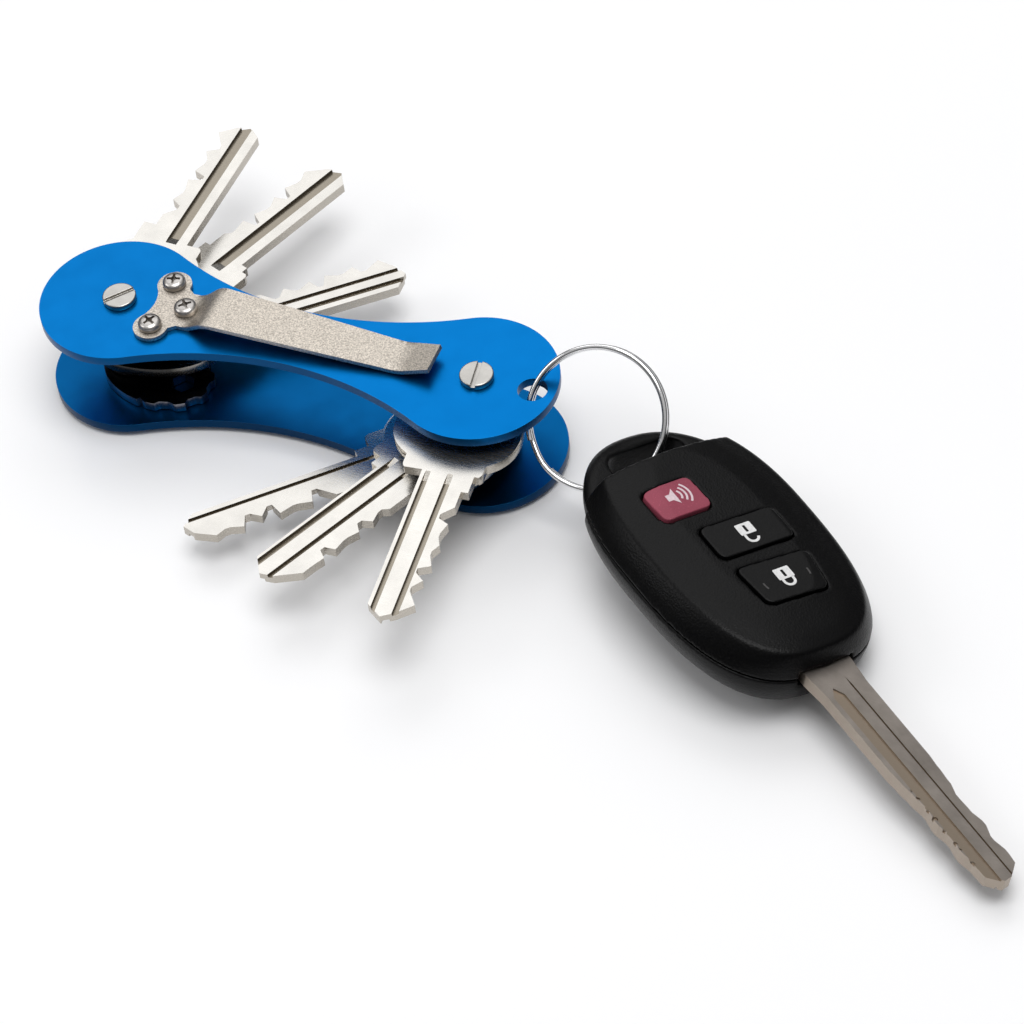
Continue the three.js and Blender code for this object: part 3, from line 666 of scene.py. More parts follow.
class ORGANISER_OT_plates(bpy.types.Operator):
    """Builds the two anodised plates"""
    bl_idname = "organiser.plates"
    bl_label = "Plates"

    def execute(self, context):
        settings = context.scene.organiser.plates
        outline = plate_outline(HALF_SPAN, LOBE_R, settings.waist)
        posts = [round_hole(side * HALF_SPAN, 0, POST_HOLE_R) for side in (-1, 1)]
        extra = [round_hole(settings.ring_hole_x, 0, settings.ring_hole)]
        extra += [round_hole(x, y, CLIP_HOLE_R, 24) for x, y in CLIP_SCREWS]
        # The lower plate takes the blue at half strength: painted shade under the upper plate.
        painted_shade_blue = anodised("anodised_blue_lower", scaled(settings.colour, 0.5))
        bright = anodised("anodised_blue_upper", scaled(settings.colour, 0.9))
        for name, low, holes, blue in (("lower", 0.0, posts, painted_shade_blue),
                                       ("upper", UPPER_Z, posts + extra, bright)):
            plate = slab(f"organiser_plate_{name}", outline, low, low + PLATE_T, holes)
            plate = soften(plate, settings.edge, 40, 4)
            hand_over(plate, "organiser", [f"plate_{name}"], blue)
        return {"FINISHED"}


# ---- posts, washers, screws ---------------------------------------------
def cheese_head(name, radius, height, shank, reach, slot=0.0):
    """Flat head with a rounded rim and perhaps a slot, its seat at z = 0."""
    rim = 0.22
    profile = [(shank - 0.25, -reach), (shank, -reach + 0.3), (shank, 0), (radius, 0)]
    profile += [(radius, height - rim)]
    profile += [(radius - rim + rim * math.cos(t), height - rim + rim * math.sin(t))
                for t in (math.pi / 8 * k for k in range(1, 5))]
    head = turned(name, profile, 72)
    if slot:
        groove = box("groove", (-4, -slot / 2, height - 0.5), (4, slot / 2, height + 1))
        head = soften(cut(head, groove), 0.05, 50)
    return head


class ORGANISER_OT_posts(bpy.types.Operator):
    """Builds the slotted screws and barrels of the two posts"""
    bl_idname = "organiser.posts"
    bl_label = "Posts"

    def execute(self, context):
        settings = context.scene.organiser.steel
        steel = shared("post_steel", brushed, settings.bright, 0.3, turn=25, grain=0.004,
                       blotch=0.3)
        radius = settings.post_head
        gap = 0.1
        for side, sign, turn in (("left", -1, 48), ("right", 1, 98)):
            x = sign * HALF_SPAN
            screw = cheese_head(f"post_screw_head_{side}", radius, 0.98, 1.3, 10, 0.85)
            screw = copies_of(f"post_screw_piece_{side}", screw, [(x, 0, TOP_Z + gap, turn)], steel)
            hand_over(screw, "organiser", [f"post_screw_{side}"], steel)
            barrel = cheese_head(f"post_barrel_head_{side}", radius, 0.98, 2.3, TOP_Z - 0.05)
            bore = turned("bore", [(1.6, -TOP_Z - 1), (1.6, -TOP_Z + 11)], 48)
            barrel = cut(barrel, bore)
            barrel.data.transform(Matrix.Rotation(math.pi, 4, "X"))
            barrel = copies_of(f"post_barrel_piece_{side}", barrel, [(x, 0, -gap, turn + 50)], steel)
            hand_over(barrel, "organiser", [f"post_barrel_{side}"], steel)
        return {"FINISHED"}


class ORGANISER_OT_washers(bpy.types.Operator):
    """Builds the spacer washers between the leaves"""
    bl_idname = "organiser.washers"
    bl_label = "Washers"

    def execute(self, context):
        steel = shared("washer_steel", brushed, (0.12, 0.12, 0.13, 1), 0.35, turn=70, grain=0.003)
        for side, sign, count in (("left", -1, 3), ("right", 1, 4)):
            names = [f"washer_{side}_{k + 1}" for k in range(count)]
            tops = [middle_height(n) for n in names]
            stack = washers_on_post(f"washers_{side}", sign * HALF_SPAN, tops[0],
                                    tops[1] - tops[0], count, steel)
            hand_over(clean(stack), "organiser", names, steel)
        return {"FINISHED"}


class ORGANISER_OT_clip_screws(bpy.types.Operator):
    """Builds the three pan head screws of the clip"""
    bl_idname = "organiser.clip_screws"
    bl_label = "Clip screws"

    def execute(self, context):
        settings = context.scene.organiser.steel
        radius, height = settings.clip_head, 1.4
        profile = [(0.7, -2.4), (0.9, -2.2), (0.9, 0), (radius - 0.08, 0), (radius, 0.1)]
        profile += [(radius, 0.55)]
        profile += [(radius * math.cos(t) ** 0.55, 0.55 + (height - 0.55) * math.sin(t))
                    for t in (math.pi / 2 * k / 9 for k in range(1, 9))]
        head = turned("clip_screw_blank", profile, 56)
        for turn in (0, 90):
            wedge = box("wedge", (-1.15, -0.24, height - 0.85), (1.15, 0.24, height + 1))
            wedge.data.transform(turn_z(turn))
            head = cut(head, wedge)
        head = cut(head, turned("centre", [(0.3, height - 0.95), (0.62, height + 0.3)], 24))
        head = soften(head, 0.045, 45)
        steel = shared("screw_steel", brushed, (0.5, 0.48, 0.46, 1), 0.3, turn=40, blotch=0.3)
        seat = TOP_Z + 0.2 + settings.sheet
        places = [(x, y, seat, turn) for (x, y), turn in zip(CLIP_SCREWS, (15, 40, 62))]
        screws = copies_of("clip_screws", head, places, steel)
        nodes = [f"clip_screw_{k + 1}" for k in range(3)]
        hand_over(screws, "organiser", nodes, steel)
        return {"FINISHED"}


# ---- clip ---------------------------------------------------------------
def smooth_path(corners, radius, steps=6):
    """Polyline with each corner replaced by a short curve."""
    points = [Vector(corners[0])]
    for before, corner, after in zip(corners, corners[1:], corners[2:]):
        c = Vector(corner)
        ends = []
        for other in (before, after):
            way = Vector(other) - c
            ends.append(c + way.normalized() * min(radius, way.length * 0.45))
        for k in range(steps + 1):
            t = k / steps
            points.append((1 - t) ** 2 * ends[0] + 2 * t * (1 - t) * c + t ** 2 * ends[1])
    return points + [Vector(corners[-1])]


def strap(name, path, half_width, sheet):
    """Bent sheet strip: the path runs along its top face, the width follows x."""
    stations = []
    for i, point in enumerate(path):
        way = (path[min(i + 1, len(path) - 1)] - path[max(i - 1, 0)]).normalized()
        under = point + Vector((way.y, -way.x)) * sheet
        w = half_width(point.x)
        top = [(point.x, w * k / 4, point.y) for k in range(-4, 5)]
        low = [(under.x, w * k / 4, under.y) for k in range(4, -5, -1)]
        stations.append(top + low)
    return loft(name, stations)


class ORGANISER_OT_clip(bpy.types.Operator):
    """Builds the pocket clip"""
    bl_idname = "organiser.clip"
    bl_label = "Pocket clip"

    def execute(self, context):
        settings = context.scene.organiser.steel
        sheet = settings.sheet
        base = TOP_Z + 0.1
        top = base + sheet
        path = smooth_path([(-21.5, top), (-18.6, top), (-15.2, base + 3.35), (19.6, base + 0.98),
                            (25.55, base + 2.62)], 1.5)
        stops = [(-21.5, 3.0), (-18.8, 3.9), (-15, 4.6), (20.2, 3.4), (24.8, 3.3), (25.7, 3.0)]

        def half_width(x):
            for (x0, w0), (x1, w1) in zip(stops, stops[1:]):
                if x <= x1:
                    t = max(0.0, (x - x0) / (x1 - x0))
                    return w0 + (w1 - w0) * (t * t * (3 - 2 * t))
            return stops[-1][1]

        arm = strap("arm", path, half_width, sheet)
        edge = []
        reach = 3.0
        edge += arc(-24.8, 5.1, reach, math.radians(-5), math.radians(215), 26)
        notch = 6.75
        span = math.radians(26)
        edge += arc(-HALF_SPAN, 0, notch, span, -span, 16)
        edge += arc(-24.8, -5.1, reach, math.radians(145), math.radians(365), 26)
        edge += [(-20.6, -3.9), (-18.2, -3.9), (-18.2, 3.9), (-20.6, 3.9)]
        holes = [round_hole(x, y, CLIP_HOLE_R, 28) for x, y in CLIP_SCREWS]
        pad = slab("pad", edge, base, top, holes)
        clip = combine(pad, arm, "UNION")
        clip = cut(clip, turned_at("hole", CLIP_SCREWS[1], CLIP_HOLE_R, base - 1, top + 2))
        clip = soften(clean(clip), 0.09, 42)
        steel = shared("clip_steel", blasted, settings.clip)
        hand_over(clip, "organiser", ["pocket_clip"], steel, angle=40)
        return {"FINISHED"}


def turned_at(name, place, radius, low, high, count=40):
    return loft(name, [circle(radius, z, count, *place) for z in (low, high)])


# ---- keys ---------------------------------------------------------------
class Leaf:
    """A house key lying along +X, the post hole at the origin and the spine on the -Y side."""

    def __init__(self, side, angle, reach, spine, edge, bow, shoulder, stop, cuts, top, bottom):
        self.side, self.angle, self.reach = side, angle, reach
        self.spine, self.edge, self.bow = spine, edge, bow
        self.shoulder, self.stop, self.cuts = shoulder, stop, cuts
        self.top, self.bottom = top, bottom


KEYS = {
    "key_a": Leaf(-1, 87.7, 47.6, -4.1, 3.4, (11.5, 9.2, 9.2), (17, -7.1, 5.7), (20, 1.8, 5.7),
                  (2.2, 1.4, 2.8, 1.0, 1.9), [(-2.2, -0.2)], [(0.9, 1.9)]),
    "key_b": Leaf(-1, 68.1, 50.1, -5.7, 2.3, (12.6, 9.4, 9.4), (21.4, -8.4, 3.4),
                  (22.6, -7, 3.4), (1.2, 2.6, 1.6, 2.9, 0.9), [(-3.7, -1.5)], [(-1.6, -0.6)]),
    "key_c": Leaf(-1, 39.5, 49.2, -6.1, 1.9, (11.8, 9.6, 9.6), (19, -8.3, 5.2), (21, -7.4, 4.2),
                  (1.8, 1.0, 2.4, 1.6, 2.1), [(-5.0, -4.1), (-2.3, -1.6)], [(-3.9, -2.9)]),
    "key_f": Leaf(1, -85.1, 50.2, -4.4, 3.4, (11.6, 9.4, 11.6), (18.2, -8, 5.8),
                  (21.8, 0.8, 4.6), (1.9, 2.1, 0.9, 0.7, 1.9), [(-3.7, -2.9), (0.1, 1.0)],
                  [(-1.5, -0.4)]),
    "key_e": Leaf(1, -115.6, 49.2, -3.8, 4.8, (11.8, 10.2, 10.2), (18.4, -7.4, 7),
                  (20.4, -5.2, 5.6), (0.2, 1.8, 0.5, 1.6, 0.9), [(-3.2, -2.2), (0.6, 1.3)],
                  [(-1.1, 0)]),
    "key_d": Leaf(1, -137.5, 53.4, -3.6, 3.0, (11.8, 10.4, 10.4), (19, -7.6, 6.4),
                  (21.6, -5, 4.2), (0.9, 2.3, 2.6, 0.9, 2.7), [(-2.6, -2)], [(-0.6, 0.4)]),
}
# Painted shade on each key's bow near its post: the share of the key colour kept there, lowest for
# the bows deepest between the plates.
BOW_SHADE = {"key_a": 0.06, "key_b": 0.06, "key_c": 0.08, "key_d": 0.12, "key_e": 0.45,
             "key_f": 0.7}
BOW_BACK = 6.0
CUT_PITCH = 4.0
CUT_FLAT = 0.45
BLADE_FROM = 8.0


def bow_point(leaf, t):
    half, upper, lower = leaf.bow
    width = upper if math.sin(t) > 0 else lower
    return (half - BOW_BACK + half * math.cos(t), width * math.sin(t) * (1 + 0.3 * math.cos(t)))


def cut_profile(leaf):
    """The blade's cut edge from its tip back to the bow."""
    middle = (leaf.spine + leaf.edge) / 2
    first = leaf.reach - 6.6
    points = [(leaf.reach, middle - 1.2), (leaf.reach - 1.2, middle + 1)]
    for i, depth in enumerate(leaf.cuts):
        x = first - CUT_PITCH * i
        if i == 0:
            points.append((x + CUT_FLAT + max(depth, 0.4) + 0.8, leaf.edge - 0.2))
        else:
            before = leaf.cuts[i - 1]
            peak = -(before + depth) / 2 + (CUT_PITCH - 2 * CUT_FLAT) / 2
            points.append((x + CUT_PITCH / 2 + (before - depth) / 2,
                           leaf.edge + min(peak, -0.05)))
        points += [(x + CUT_FLAT, leaf.edge - depth), (x - CUT_FLAT, leaf.edge - depth)]
    end = first - CUT_PITCH * (len(leaf.cuts) - 1) - CUT_FLAT - leaf.cuts[-1]
    return points + [(end, leaf.edge), (BLADE_FROM, leaf.edge)]


def level_on(points, x):
    """Height of a polyline at x, or None outside it."""
    for (x0, y0), (x1, y1) in zip(points, points[1:]):
        low, high = min(x0, x1), max(x0, x1)
        if low <= x <= high and high > low:
            return y0 + (y1 - y0) * (x - x0) / (x1 - x0)
    return None


def key_outline(leaf):
    """Outer outline of bow, shoulder, stop and blade together."""
    bow_top = [bow_point(leaf, math.pi * k / 60) for k in range(61)]
    bow_low = [bow_point(leaf, -math.pi * k / 60) for k in range(61)]
    shoulder_x, shoulder_low, shoulder_high = leaf.shoulder
    stop_x, stop_low, stop_high = leaf.stop
    blade_top = cut_profile(leaf)
    nose = [(leaf.reach, (leaf.spine + leaf.edge) / 2 - 1.2), (leaf.reach - 2.2, leaf.spine),
            (BLADE_FROM, leaf.spine)]

    def extents(x):
        tops, lows = [], []
        for top, low in ((bow_top, bow_low), (blade_top, nose)):
            high, deep = level_on(top, x), level_on(low, x)
            if high is not None and deep is not None:
                tops.append(high)
                lows.append(deep)
        ease = 0.9
        if BLADE_FROM <= x <= shoulder_x:
            give = max(0.0, x - (shoulder_x - ease)) ** 2 / (2 * ease)
            tops.append(shoulder_high - give)
            lows.append(shoulder_low + give)
        if BLADE_FROM <= x <= stop_x:
            tops.append(stop_high)
            lows.append(stop_low)
        return max(tops), min(lows)

    tiny = 0.002
    xs = {round(p[0], 4) for p in bow_top}
    for x, _ in blade_top + nose:
        xs.update((x - tiny, x + tiny))
    for x in (shoulder_x, stop_x):
        xs.update((x - 0.8, x - 0.5, x - 0.25, x - tiny, x + tiny))
    low_end, high_end = -BOW_BACK + tiny, leaf.reach - tiny
    xs = sorted(x for x in xs if low_end < x < high_end)
    xs = [low_end, *xs, high_end]
    kept = [xs[0]]
    for x in xs[1:]:
        if x - kept[-1] > tiny * 0.9:
            kept.append(x)
    pairs = [(x, *extents(x)) for x in kept]
    lower = [(x, low) for x, _, low in pairs]
    upper = [(x, high) for x, high, _ in reversed(pairs)]
    return lower + upper


def groove_cutter(x0, x1, y0, y1, face, depth):
    """Milled groove with leaning walls that runs out in a slope towards the bow."""
    over = 0.6
    lean = 0.16
    deep, high = face * (LEAF_T / 2 - depth), face * (LEAF_T / 2 + over)
    rings = []
    for x, floor in ((x0, face * (LEAF_T / 2 + 0.05)), (x0 + 1.9, deep), (x1, deep)):
        rings.append([(x, y0 - lean, high), (x, y1 + lean, high), (x, y1, floor), (x, y0, floor)])
    return loft("groove", rings)


def house_key(name, leaf, settings):
    key = slab(name, key_outline(leaf), -LEAF_T / 2, LEAF_T / 2,
               [round_hole(0, 0, POST_HOLE_R, 40)])
    start = leaf.stop[0] - 3.6
    for face, rows in ((1, leaf.top), (-1, leaf.bottom)):
        for y0, y1 in rows:
            key = cut(key, groove_cutter(start, leaf.reach + 2, y0, y1, face, settings.groove))
    return soften(clean(key), settings.ward, 40)


class ORGANISER_OT_keys(bpy.types.Operator):
    """Builds the six house keys"""
    bl_idname = "organiser.keys"
    bl_label = "House keys"

    def execute(self, context):
        settings = context.scene.organiser.keys
        for k, (name, leaf) in enumerate(KEYS.items()):
            hub = (leaf.side * HALF_SPAN, 0)
            nickel = brushed(f"nickel_{name}", scaled(settings.colour, 1.0 - 0.03 * (k % 3)), 0.26,
                             turn=-leaf.angle, grain=0.0012, blotch=0.16, stretch=(1, 14, 14),
                             hub=hub, hub_shade=BOW_SHADE[name])
            place = shift(leaf.side * HALF_SPAN, 0, middle_height(name)) @ turn_z(leaf.angle)
            piece = house_key(f"house_{name}", leaf, settings)
            sink_grooves(piece, LEAF_T / 2)
            hand_over(piece, f"{name}_body", [name], nickel, place, 28)
        return {"FINISHED"}


# ---- tool leaf ----------------------------------------------------------
class ORGANISER_OT_tool(bpy.types.Operator):
    """Builds the stowed tool leaf"""
    bl_idname = "organiser.tool"
    bl_label = "Tool leaf"

    def execute(self, context):
        outline = []
        steps = 176
        for i in range(steps):
            t = 2 * math.pi * i / steps
            tooth = (i % 16) / 16
            wave = 0.7 * min(1.0, max(0.0, 3 * (0.5 - abs(tooth - 0.25) * 2) + 0.5))
            step = wave if math.cos(t) > 0.1 else 0.0
            outline.append((5.6 + (10.6 - step) * math.cos(t), (7.6 - step) * math.sin(t)))
        hexagon = list(reversed(arc(11.2, -0.6, 2.2, 0, 2 * math.pi, 6)[:-1]))
        holes = [hexagon, round_hole(0, 0, POST_HOLE_R, 40)]
        leaf = slab("stowed_tool", outline, -LEAF_T / 2, LEAF_T / 2, holes)
        leaf = soften(leaf, 0.14, 45)
        place = shift(-HALF_SPAN, 0, middle_height("tool_leaf")) @ turn_z(-12)
        # Near-black steel; its upright walls, the toothed rim, are painted ten times lighter as a
        # painted glint.
        steel = shared("tool_steel", brushed, (0.022, 0.023, 0.027, 1), 0.3, turn=12,
                       grain=0.002, wall=10)
        hand_over(leaf, "tool_body", ["tool_leaf"], steel, place)
        return {"FINISHED"}


# ---- split ring ---------------------------------------------------------
COIL_GAP = 0.08
WIRE_START = math.radians(238)
RING_LEAN = -0.156


class ORGANISER_OT_ring(bpy.types.Operator):
    """Builds the split ring"""
    bl_idname = "organiser.ring"
    bl_label = "Split ring"

    def execute(self, context):
        scene = context.scene.organiser
        settings = scene.ring
        chrome = shared("ring_chrome", polished, (0.86, 0.86, 0.87, 1))
        crossing = 0.5
        ring = wound_wire("wound_ring", settings.radius, settings.wire, WIRE_START,
                          4 * math.pi - crossing, crossing, 2 * settings.wire + COIL_GAP, chrome)
        tilt = Vector((0.017, -0.694, 0.719)).normalized()
        flat = Vector((1, 0, 0))
        flat = (flat - tilt * flat.dot(tilt)).normalized()
        rising = tilt.cross(flat)
        centre = Vector((scene.plates.ring_hole_x, 0, TOP_Z - PLATE_T / 2))
        centre += settings.radius * (flat * math.sqrt(1 - RING_LEAN ** 2)
                                     + rising * RING_LEAN)
        place = Matrix((flat, rising, tilt)).transposed().to_4x4()
        place.translation = centre
        hand_over(clean(ring), "ring_body", ["split_ring"], chrome, place, 50)
        return {"FINISHED"}


# ---- fob ----------------------------------------------------------------
SPLIT_H = 7.5
BLADE_HALF = 4.0
# Worn pits along one flank of the blade: offset from an even pitch, and radius.
PITS = [(0.3, 0.5), (-0.4, 0.3), (0.5, 0.42), (0, 0.28), (-0.3, 0.5), (0.2, 0.33), (-0.2, 0.4),
        (0.4, 0.27)]
FOB_FRONT = 30.5
FOB_REAR = 27.5
LOOP_X = -47.4
BUTTONS = {
    "alarm": [(-40.3, -10.2), (-33.2, -9.9), (-33.2, -0.7), (-40.5, -1.1)],
    "unlock": [(-29.5, -6.3), (-22.3, -6.2), (-22.1, 8.1), (-29.1, 8.0)],
    "lock": [(-19.6, -5.7), (-11.0, -4.9), (-10.4, 6.6), (-18.7, 7.8)],
}
TOP_LEVELS = [(7.65, 0, 0, 0), (9.6, 0.9, 0.3, 0.9), (11.5, 2.1, 0.9, 2.0),
              (12.35, 2.9, 1.4, 2.8), (12.7, 4.2, 2.2, 3.9), (13.3, 6.8, 4.8, 6.2),
              (13.9, 10.5, 10.5, 11)]


def fob_placement():
    yaw, pitch, roll = (math.radians(v) for v in (-36.83, 5, -14))
    along = Vector((math.cos(yaw) * math.cos(pitch), math.sin(yaw) * math.cos(pitch),
                    -math.sin(pitch)))
    across = Vector((-math.sin(yaw), math.cos(yaw), 0))
    up = along.cross(across)
    side = across * math.cos(roll) + up * math.sin(roll)
    normal = along.cross(side)
    place = Matrix((along, side, normal)).transposed().to_4x4()
    place.translation = Vector((103.84, -35.82, TOP_Z - 18))
    return place


def fob_ring(h, side, front, rear, power=0.0, count=144):
    points = []
    half = bpy.context.scene.organiser.fob.half_width
    for i in range(count):
        t = 2 * math.pi * (i + 0.5) / count
        c, s = math.cos(t), math.sin(t)
        length = FOB_FRONT - front if c > 0 else FOB_REAR - rear
        n = power or (2.75 if c > 0 else 2.3)
        bend = [math.copysign(abs(v) ** (2 / n), v) for v in (c, s)]
        points.append((0.5 - FOB_FRONT + length * bend[0],
                       (half - side) * bend[1] + 0.2 * c - 0.35, h))
    return points


def eased(levels, steps=5):
    """Catmull-Rom levels between the given ones."""
    result = []
    for i in range(len(levels) - 1):
        p0, p1 = levels[max(i - 1, 0)], levels[i]
        p2, p3 = levels[i + 1], levels[min(i + 2, len(levels) - 1)]
        for k in range(steps):
            t = k / steps
            result.append([0.5 * (2 * b + (c - a) * t + (2 * a - 5 * b + 4 * c - d) * t ** 2
                                  + (3 * b - a - 3 * c + d) * t ** 3)
                           for a, b, c, d in zip(p0, p1, p2, p3)])
    return result + [list(levels[-1])]


def fob_stack(name, levels, power=0.0):
    return loft(name, [fob_ring(*level, power=power) for level in levels])


def inset(levels):
    """The key loop's levels: a little narrower than the head, which leaves a shoulder."""
    return [(h, side + 0.6, front, rear) for h, side, front, rear in levels]


def rounded(corners, radius, steps=8):
    points = []
    for i, corner in enumerate(corners):
        c = Vector(corner)
        ends = []
        for other in (corners[i - 1], corners[(i + 1) % len(corners)]):
            ends.append(c + (Vector(other) - c).normalized() * radius)
        for k in range(steps + 1):
            t = k / steps
            points.append(tuple((1 - t) ** 2 * ends[0] + 2 * t * (1 - t) * c + t ** 2 * ends[1]))
    return points


def grown(corners, amount):
    mx = sum(p[0] for p in corners) / len(corners)
    my = sum(p[1] for p in corners) / len(corners)
    return [(x + math.copysign(amount, x - mx), y + math.copysign(amount, y - my))
            for x, y in corners]


CAVITY = [(1.8, 6.0, 9.6, 13.4), (5, 3.0, 9.6, 12.6), (8.5, 2.9, 9.6, 12.6),
          (11.6, 5.0, 9.6, 12.6)]


def hollowed(shell):
    shell = cut(shell, fob_stack("cavity", CAVITY, power=4))
    return cut(shell, box("pocket", (-13, -5.2, SPLIT_H - 1.5), (3, 5.2, SPLIT_H + 1.5)))


class ORGANISER_OT_fob_shells(bpy.types.Operator):
    """Builds the two moulded halves of the fob"""
    bl_idname = "organiser.fob_shells"
    bl_label = "Fob shells"

    def execute(self, context):
        settings = context.scene.organiser.fob
        size = settings.shell_detail
        black = shared("fob_black", textured_plastic, settings.shell, 0.34, 0.045,
                       sheen=0.16)
        levels = [(0, 6, 4, 6), (0.7, 4.0, 2.4, 4), (2.4, 1.6, 0.8, 1.6), (5, 0.3, 0.1, 0.3),
                  (SPLIT_H - 0.15, 0, 0, 0)]
        shoulder = LOOP_X + 2
        tray = fob_stack("tray", eased(levels))
        tray = cut(tray, box("tail", (-70, -30, -1), (shoulder, 30, 20)))
        rim = fob_stack("rim", eased(inset(levels)))
        rim = combine(rim, box("keep", (-70, -30, -1), (shoulder + 1, 30, 20)), "INTERSECT")
        loop = fob_stack("loop", eased(inset([(5, 0.3, 0.1, 0.3), (7.0, 0.15, 0, 0.15),
                                              (7.9, 0.6, 0, 0.7), (8.4, 1.6, 0, 1.8)])))
        loop = combine(loop, box("keep", (-70, -30, 0), (LOOP_X, 30, 20)), "INTERSECT")
        lower = combine(combine(tray, rim, "UNION"), loop, "UNION")
        lower = cut(lower, box("under", (-70, -30, -1), (-49.4, 30, 3)))
        slot = rounded([(-54, -7.6), (LOOP_X + 0.3, -7.6), (LOOP_X + 0.3, 7.2), (-54, 7.2)], 3.1)
        lower = hollowed(cut(lower, slab("slot", slot, -2, 12)))
        lower = moulded(lower, size, 3)
        place = fob_placement()
        hand_over(lower, "fob_body", ["fob_shell_lower"], black, place, 80)

        upper = fob_stack("upper", eased(TOP_LEVELS))
        upper = cut(upper, box("rear", (-70, -30, 0), (LOOP_X + 0.3, 30, 20)))
        upper = hollowed(upper)
        for corners in BUTTONS.values():
            upper = cut(upper, slab("window", rounded(grown(corners, 0.25), 1.7), 10, 20))
        upper = moulded(upper, size, 3)
        hand_over(upper, "fob_body", ["fob_shell_upper"], black, place, 80)
        return {"FINISHED"}


def band(points, width):
    """Outline of a stroke of the given width along an open polyline."""
    left, right = [], []
    for i, point in enumerate(points):
        way = Vector(points[min(i + 1, len(points) - 1)]) - Vector(points[max(i - 1, 0)])
        side = Vector((-way.y, way.x)).normalized() * width / 2
        left.append(tuple(Vector(point) + side))
        right.append(tuple(Vector(point) - side))
    return left + right[::-1]


def padlock(x, y, size, open_shackle):
    """Body with a keyhole, and a shackle towards the blade, as outlines with holes."""
    body = rounded([(x - 1.5 * size, y - 1.15 * size), (x + 0.35 * size, y - 1.15 * size),
                    (x + 0.35 * size, y + 1.15 * size), (x - 1.5 * size, y + 1.15 * size)],
                   0.2 * size)
    hole = rounded([(x - 1.15 * size, y - 0.2 * size), (x + 0.02 * size, y - 0.2 * size),
                    (x + 0.02 * size, y + 0.2 * size), (x - 1.15 * size, y + 0.2 * size)],
                   0.12 * size)[::-1]
    low = y - 0.72 * size
    if open_shackle:
        hook = arc(x + 0.95 * size, y + 0.06 * size, 0.78 * size, -math.pi / 2, math.pi * 0.42, 14)
        legs = [(x + 0.3 * size, low), *hook]
    else:
        bow = arc(x + 0.75 * size, y, 0.72 * size, -math.pi / 2, math.pi / 2, 14)
        legs = [(x + 0.3 * size, low), *bow, (x + 0.3 * size, y + 0.72 * size)]
    return [(body, [hole]), (band(legs, 0.36 * size), [])]


def horn(x, y, size):
    """A loudspeaker with three sound arcs."""
    speaker = [(x - 0.45 * size, y - 1.2 * size), (x + 0.45 * size, y - 1.2 * size),
               (x + 0.45 * size, y - 0.6 * size), (x + 1.15 * size, y),
               (x - 1.15 * size, y), (x - 0.45 * size, y - 0.6 * size)]
    shapes = [(speaker, [])]
    for k in range(3):
        radius = (0.9 + 0.55 * k) * size
        sweep = math.radians(42)
        waves = arc(x, y - 0.25 * size, radius, math.pi / 2 - sweep, math.pi / 2 + sweep, 10)
        shapes.append((band(waves, 0.24 * size), []))
    return shapes


def draped(name, shapes, surface, lift, thickness):
    """Thin flat shapes laid on a surface and joined in one piece."""
    tree = BVHTree.FromObject(surface, bpy.context.evaluated_depsgraph_get())
    work = bmesh.new()
    for outline, holes in shapes:
        piece = slab("shape", outline, 0, thickness, holes)
        for v in piece.data.vertices:
            hit = tree.ray_cast(Vector((v.co.x, v.co.y, 40)), Vector((0, 0, -1)))[0]
            v.co.z += (hit.z if hit else 13.5) + lift - thickness
        work.from_mesh(piece.data)
        discard(piece)
    mesh = bpy.data.meshes.new(name)
    work.to_mesh(mesh)
    work.free()
    return link(name, mesh)


class ORGANISER_OT_fob_buttons(bpy.types.Operator):
    """Builds the fob's three buttons and their pictograms"""
    bl_idname = "organiser.fob_buttons"
    bl_label = "Fob buttons"

    def execute(self, context):
        settings = context.scene.organiser.fob
        black = shared("button_black", textured_plastic, (0.0016, 0.0016, 0.0018, 1), 0.36, 0.012)
        maroon = shared("alarm_maroon", textured_plastic, settings.alarm, 0.42, 0.012)
        white = shared("pictogram_white", printed, (0.78, 0.78, 0.78, 1))
        faint = shared("pictogram_faint", printed, (0.05, 0.048, 0.048, 1))
        pale = shared("pictogram_pale", printed, (0.72, 0.58, 0.62, 1))
        place = fob_placement()
        levels = [(5, 0, 0, 0)] + [(h + 0.35, *rest) for h, *rest in TOP_LEVELS[1:]]
        for name, corners in BUTTONS.items():
            skin = fob_stack("skin", eased(levels))
            cap = slab("cap", rounded(corners, 1.5), 11.2, 20)
            cap = combine(cap, skin, "INTERSECT")
            flange = slab("flange", rounded(grown(corners, 0.7), 1.5), 10.6, 11.3)
            cap = moulded(combine(cap, flange, "UNION"), 0.16, 4)
            mx = sum(p[0] for p in corners) / 4
            my = sum(p[1] for p in corners) / 4
            if name == "alarm":
                marks = [(pale, horn(mx - 0.5, my + 0.1, 1.5))]
            else:
                marks = [(white, padlock(mx, my + 0.1, 1.3, name == "unlock"))]
            if name == "lock":
                side = [arc(mx, my, 4.3, a - 0.16, a + 0.16, 5)
                        for a in (math.pi / 2 - 0.12, -math.pi / 2 + 0.12)]
                marks.append((faint, [(band(s, 0.3), []) for s in side]))
            pieces = [(draped(f"{name}_pictogram_{k}", shapes, cap, 0.03, 0.12), paint)
                      for k, (paint, shapes) in enumerate(marks)]
            paint = maroon if name == "alarm" else black
            body = f"{name}_button"
            hand_over(cap, body, [f"fob_button_{name}"], paint, place, 80)
            for piece, ink in pieces:
                hand_over(piece, body, [], ink, place)
        return {"FINISHED"}


